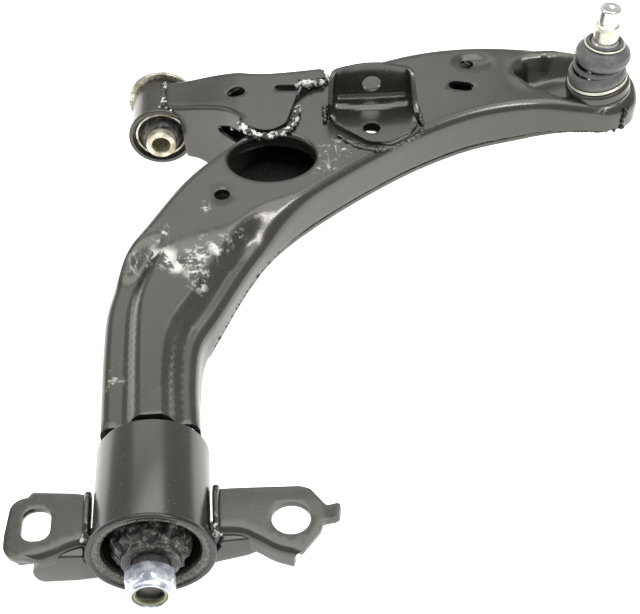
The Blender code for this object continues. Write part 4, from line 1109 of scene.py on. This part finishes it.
zinc = Finish("bright_zinc", (0.74, 0.76, 0.82), 0.3, 0.85)
haze = zinc.grain(130, 5, 0.62).between(0.38, 0.66)
zinc_color = zinc.blend(haze, (0.42, 0.45, 0.54), (0.78, 0.8, 0.84))
zinc_marks = zinc.specks(420).between(0.26, 0.1) * zinc.grain(60).between(0.48, 0.62)
zinc_color = zinc.blend(zinc_marks * 0.6, zinc_color, (0.3, 0.3, 0.33))
pressed_zinc = zinc.bump(zinc.grain(300, 4), 0.0003, 0.35)
zinc.feed(Base_Color=zinc_color, Roughness=0.22 + haze * 0.2, Normal=pressed_zinc)
nut = lathe(
    "rear_lock_nut",
    [
        (12.6, -11.5, 0.3), (14.2, -12.6, 0.5), (14.2, -18.4, 1.0), (12.0, -20.8, 1.2),
        (10.6, -21.6, 0.6), (10.3, -23.2, 0.6), (9.7, -24.3, 0.6), (8.9, -24.2, 0.4), (8.7, -23.4, 0.3),
        (8.1, -20.2, 0.1), (8.1, -11.5, 0.2),
    ],
    forward,
    144,
    trim=hexagon,
    sharp=26,
)
fit(nut, "arm", "zinc_plate", zinc.material, "rear_nut")
nylon = Finish("olive_nylon", (0.2, 0.2, 0.11), 0.45)
nylon.feed(Base_Color=nylon.blend(nylon.grain(200, 3), (0.17, 0.175, 0.09), (0.36, 0.36, 0.24)))
nut_ring = lathe(
    "rear_nut_ring",
    [(8.6, -21, 0.2), (8.6, -23.6, 0.4), (7.2, -23.2, 0.5), (7.2, -21, 0.2)],
    forward,
)
fit(nut_ring, "arm", "nylon", nylon.material, "rear_nut_insert")


# The ball joint's housing, pressed into the arm's end and leaning inboard. It holds a nylon seat under
# the ball and is closed from below by a rolled-in steel cap.
HOUSING_LEAN = 11.0
ball_place = (295, 335, 36)
lean = standing(*ball_place, 0, -HOUSING_LEAN)
housing = lathe(
    "ball_joint_housing",
    [
        (15.9, 8.5, 0.6), (17.4, 7.6, 0.6), (17.4, 4.6, 0.5), (20.4, 3.9, 0.8), (21.3, 2.4, 0.8),
        (21.3, -1.8, 0.4), (20.7, -2.4, 0.3), (21.3, -3.2, 0.3), (21.3, -10.9, 0.6), (17.4, -10.9, 0.3),
        (17.4, -17, 0.8), (14.6, -17, 0.5), (14.6, 4.2, 0.5), (13.3, 8.5, 0.5),
    ],
    lean,
    120,
)
fit(housing, "arm", "black_paint", black_paint("housing_paint", 0.6), "ball_housing")
kept_from_cad("ball_housing_cap", bare_steel.material)
white_nylon = Finish("white_nylon", (0.7, 0.69, 0.63), 0.4)
white_nylon.feed(Base_Color=white_nylon.blend(white_nylon.grain(90), (0.6, 0.59, 0.53), (0.78, 0.77, 0.72)))
kept_from_cad("ball_seat", white_nylon.material)


# The stud: a steel ball with a turned shank, a collar under the boot's top, a shoulder, and a plain end
# with a pinch-bolt groove and a centre dimple. It swings and spins in the seat.
upright_axis = standing(*ball_place)
BALL_RADIUS = 12.0
NECK_RADIUS = 6.4
BALL_FLAT = math.radians(-68)
neck = math.acos(NECK_RADIUS / BALL_RADIUS)
ball_arc = [neck + (BALL_FLAT - neck) * step / 22 for step in range(23)]
stud = lathe(
    "ball_joint_stud",
    [
        (0, 57.6, 0), (2.6, 58.9, 0.8), (6.2, 59, 0.7), (7, 58, 0.6), (7, 49.4, 0.4), (6.2, 48.6, 0.3),
        (6.2, 47.2, 0.3), (7.6, 46.4, 0.7), (8.2, 43.4, 0.6), (8.2, 35, 0.4), (9.4, 33.8, 0.4),
        (9.4, 31.6, 0.4), (7.2, 29, 1.0), (6.4, 22, 1.0),
        *[(BALL_RADIUS * math.cos(angle), BALL_RADIUS * math.sin(angle), 0) for angle in ball_arc],
        (0, BALL_RADIUS * math.sin(BALL_FLAT), 0),
    ],
    upright_axis,
)
silver = Finish("stud_steel", (0.8, 0.79, 0.77), 0.26, 0.9)
turned_marks = silver.grain(1.0, 3, 0.5, silver.stretched((60.0, 60.0, 900.0)))
oily = silver.grain(95, 4, 0.6).between(0.42, 0.66)
low_shank = silver.node("ShaderNodeSeparateXYZ", {"Vector": silver.place()}, output="Z")
foot_height = at(0, 0, 81).z
tint = (1 - low_shank.between(foot_height, foot_height + 0.005)) * oily
silver_color = silver.blend(tint * 0.75, (0.66, 0.65, 0.63), (0.6, 0.56, 0.34))
silver_color = silver.blend(turned_marks.between(0.55, 0.8) * 0.4, silver_color, (0.4, 0.39, 0.38))
fine_turning = silver.bump(turned_marks, 0.0001, 0.4)
silver.feed(Base_Color=silver_color, Roughness=0.2 + oily * 0.2, Normal=fine_turning)
fit(stud, "stud", "zinc_plate", silver.material, "ball_stud")


# The rubber boot, in three rings, and the clips at its ends. The lowest ring sits on the housing and the
# highest on the stud's collar, both baked in place; only the middle ring is hung on a body that moves.
boot_skin = dull_skin("boot_skin", 0.2, (0.085, 0.081, 0.082), 0.4)
boot_low = lathe(
    "boot_low_fold",
    [
        (16.6, 15.0, 0.3), (18.4, 13.2, 1.0), (19.4, 10.4, 1.6), (19.0, 8.0, 1.0), (18.5, 6.9, 0.4),
        (18.5, 4.9, 0.3), (17.7, 4.9, 0.2), (17.7, 7.6, 0.3), (17.6, 10.4, 1.0), (15.2, 14.4, 0.3),
    ],
    lean,
    120,
)
boot_low.data.materials.append(boot_skin)
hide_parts("boot_lower")
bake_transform(boot_low)
boot_mid = lathe(
    "boot_waist_fold",
    [(16.2, 18.2, 0.6), (17.0, 16.6, 0.6), (16.6, 14.8, 0.6), (14.6, 14.8, 0.5), (14.6, 18.2, 0.5)],
    standing(*ball_place, 0, -HOUSING_LEAN / 2),
    120,
)
fit(boot_mid, "boot_middle", "boot_rubber", boot_skin, "boot_waist")
boot_high = lathe(
    "boot_high_fold",
    [
        (11.4, 34.6, 0.5), (11.9, 33.6, 0.4), (11.7, 31.6, 0.5), (14.4, 30.2, 1.5), (17.4, 27.4, 2.0),
        (18.3, 24.0, 2.0), (17.6, 20.8, 1.6), (16.0, 18.6, 0.6), (14.2, 18.9, 0.4), (16.2, 24.2, 1.6),
        (14.2, 27.6, 1.5), (9.8, 31.6, 0.6), (9.8, 34.6, 0.4),
    ],
    upright_axis,
    120,
)
boot_high.data.materials.append(boot_skin)
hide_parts("boot_upper")
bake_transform(boot_high)


def clip(name, radius, wire, height, axis, turns, body, node):
    """A wire clip wound round the boot: turns of wire side by side."""
    rings = []
    for turn in range(turns):
        middle = height + (turn - (turns - 1) / 2) * wire * 2.1
        circle = [math.tau * step / 16 for step in range(16)]
        section = [(radius + wire * math.sin(a), middle + wire * math.cos(a), 0) for a in circle]
        rings.append(lathe(name, section, axis, 120, sharp=80))
    fit(join(name, rings), body, "zinc_plate", clip_steel, node)


pale_wire = Finish("clip_steel", (0.78, 0.76, 0.66), 0.3, 0.7)
clip_steel = pale_wire.feed(
    Base_Color=pale_wire.blend(pale_wire.grain(70), (0.5, 0.48, 0.36), (0.92, 0.91, 0.84)),
)
clip("boot_low_clip", 19.2, 0.5, 5.9, lean, 2, "arm", "boot_lower_clip")
clip("boot_high_clip", 12.7, 0.6, 32.6, upright_axis, 1, "boot_top", "boot_upper_clip")


# The camera looks down on the near side from in front of the rear bush. The arm lies on a plain white
# floor in a pale room, under one broad soft light, with two weak windows and a short strip for its gloss.
camera_data = bpy.data.cameras.new("camera")
camera_data.lens = 74.8
camera_data.sensor_width = 36.0
camera = bpy.data.objects.new("camera", camera_data)
camera.location = at(57.3, -392.0, 554.9)
camera.rotation_euler = (math.radians(45.5), 0.0, math.radians(-4.0))
bpy.context.scene.collection.objects.link(camera)
bpy.context.scene.camera = camera

FLOOR_LEVEL = -34.5
floor_mesh = bmesh.new()
bmesh.ops.create_grid(floor_mesh, x_segments=1, y_segments=1, size=6000)
floor = mesh_piece("floor", floor_mesh, Matrix.Translation((0, 0, FLOOR_LEVEL)))
floor_white = Finish("floor_white", (0.93, 0.93, 0.925), 0.9, Emission_Strength=0.9)
floor_white.shader.inputs["Emission Color"].default_value = (1.0, 1.0, 0.99, 1.0)
floor.data.materials.append(floor_white.material)

world = bpy.data.worlds.new("studio")
bpy.context.scene.world = world
world.use_nodes = True
world.node_tree.nodes["Background"].inputs["Color"].default_value = (1.0, 1.0, 0.99, 1.0)
world.node_tree.nodes["Background"].inputs["Strength"].default_value = 0.6


def soft_light(name, place, aim, width, depth, watts):
    light = bpy.data.lights.new(name, "AREA")
    light.shape = "RECTANGLE"
    light.size = width
    light.size_y = depth
    light.energy = watts
    made = bpy.data.objects.new(name, light)
    made.location = place
    made.rotation_euler = (Vector(aim) - Vector(place)).to_track_quat("-Z", "Y").to_euler()
    bpy.context.scene.collection.objects.link(made)


middle = at(120, 200, 20)
soft_light("overhead", middle + Vector((-0.1, 0.3, 1.6)), middle, 1.8, 1.2, 19)
soft_light("far_window", middle + Vector((-0.3, 1.5, 1.3)), middle, 1.6, 0.7, 4.5)
soft_light("side_window", middle + Vector((-1.5, 0.2, 0.9)), middle, 0.2, 1.4, 2.5)
soft_light("front_strip", middle + Vector((0.6, -0.22, 1.25)), at(290, 315, 30), 0.55, 0.16, 7)
bpy.context.scene.view_settings.view_transform = "Standard"
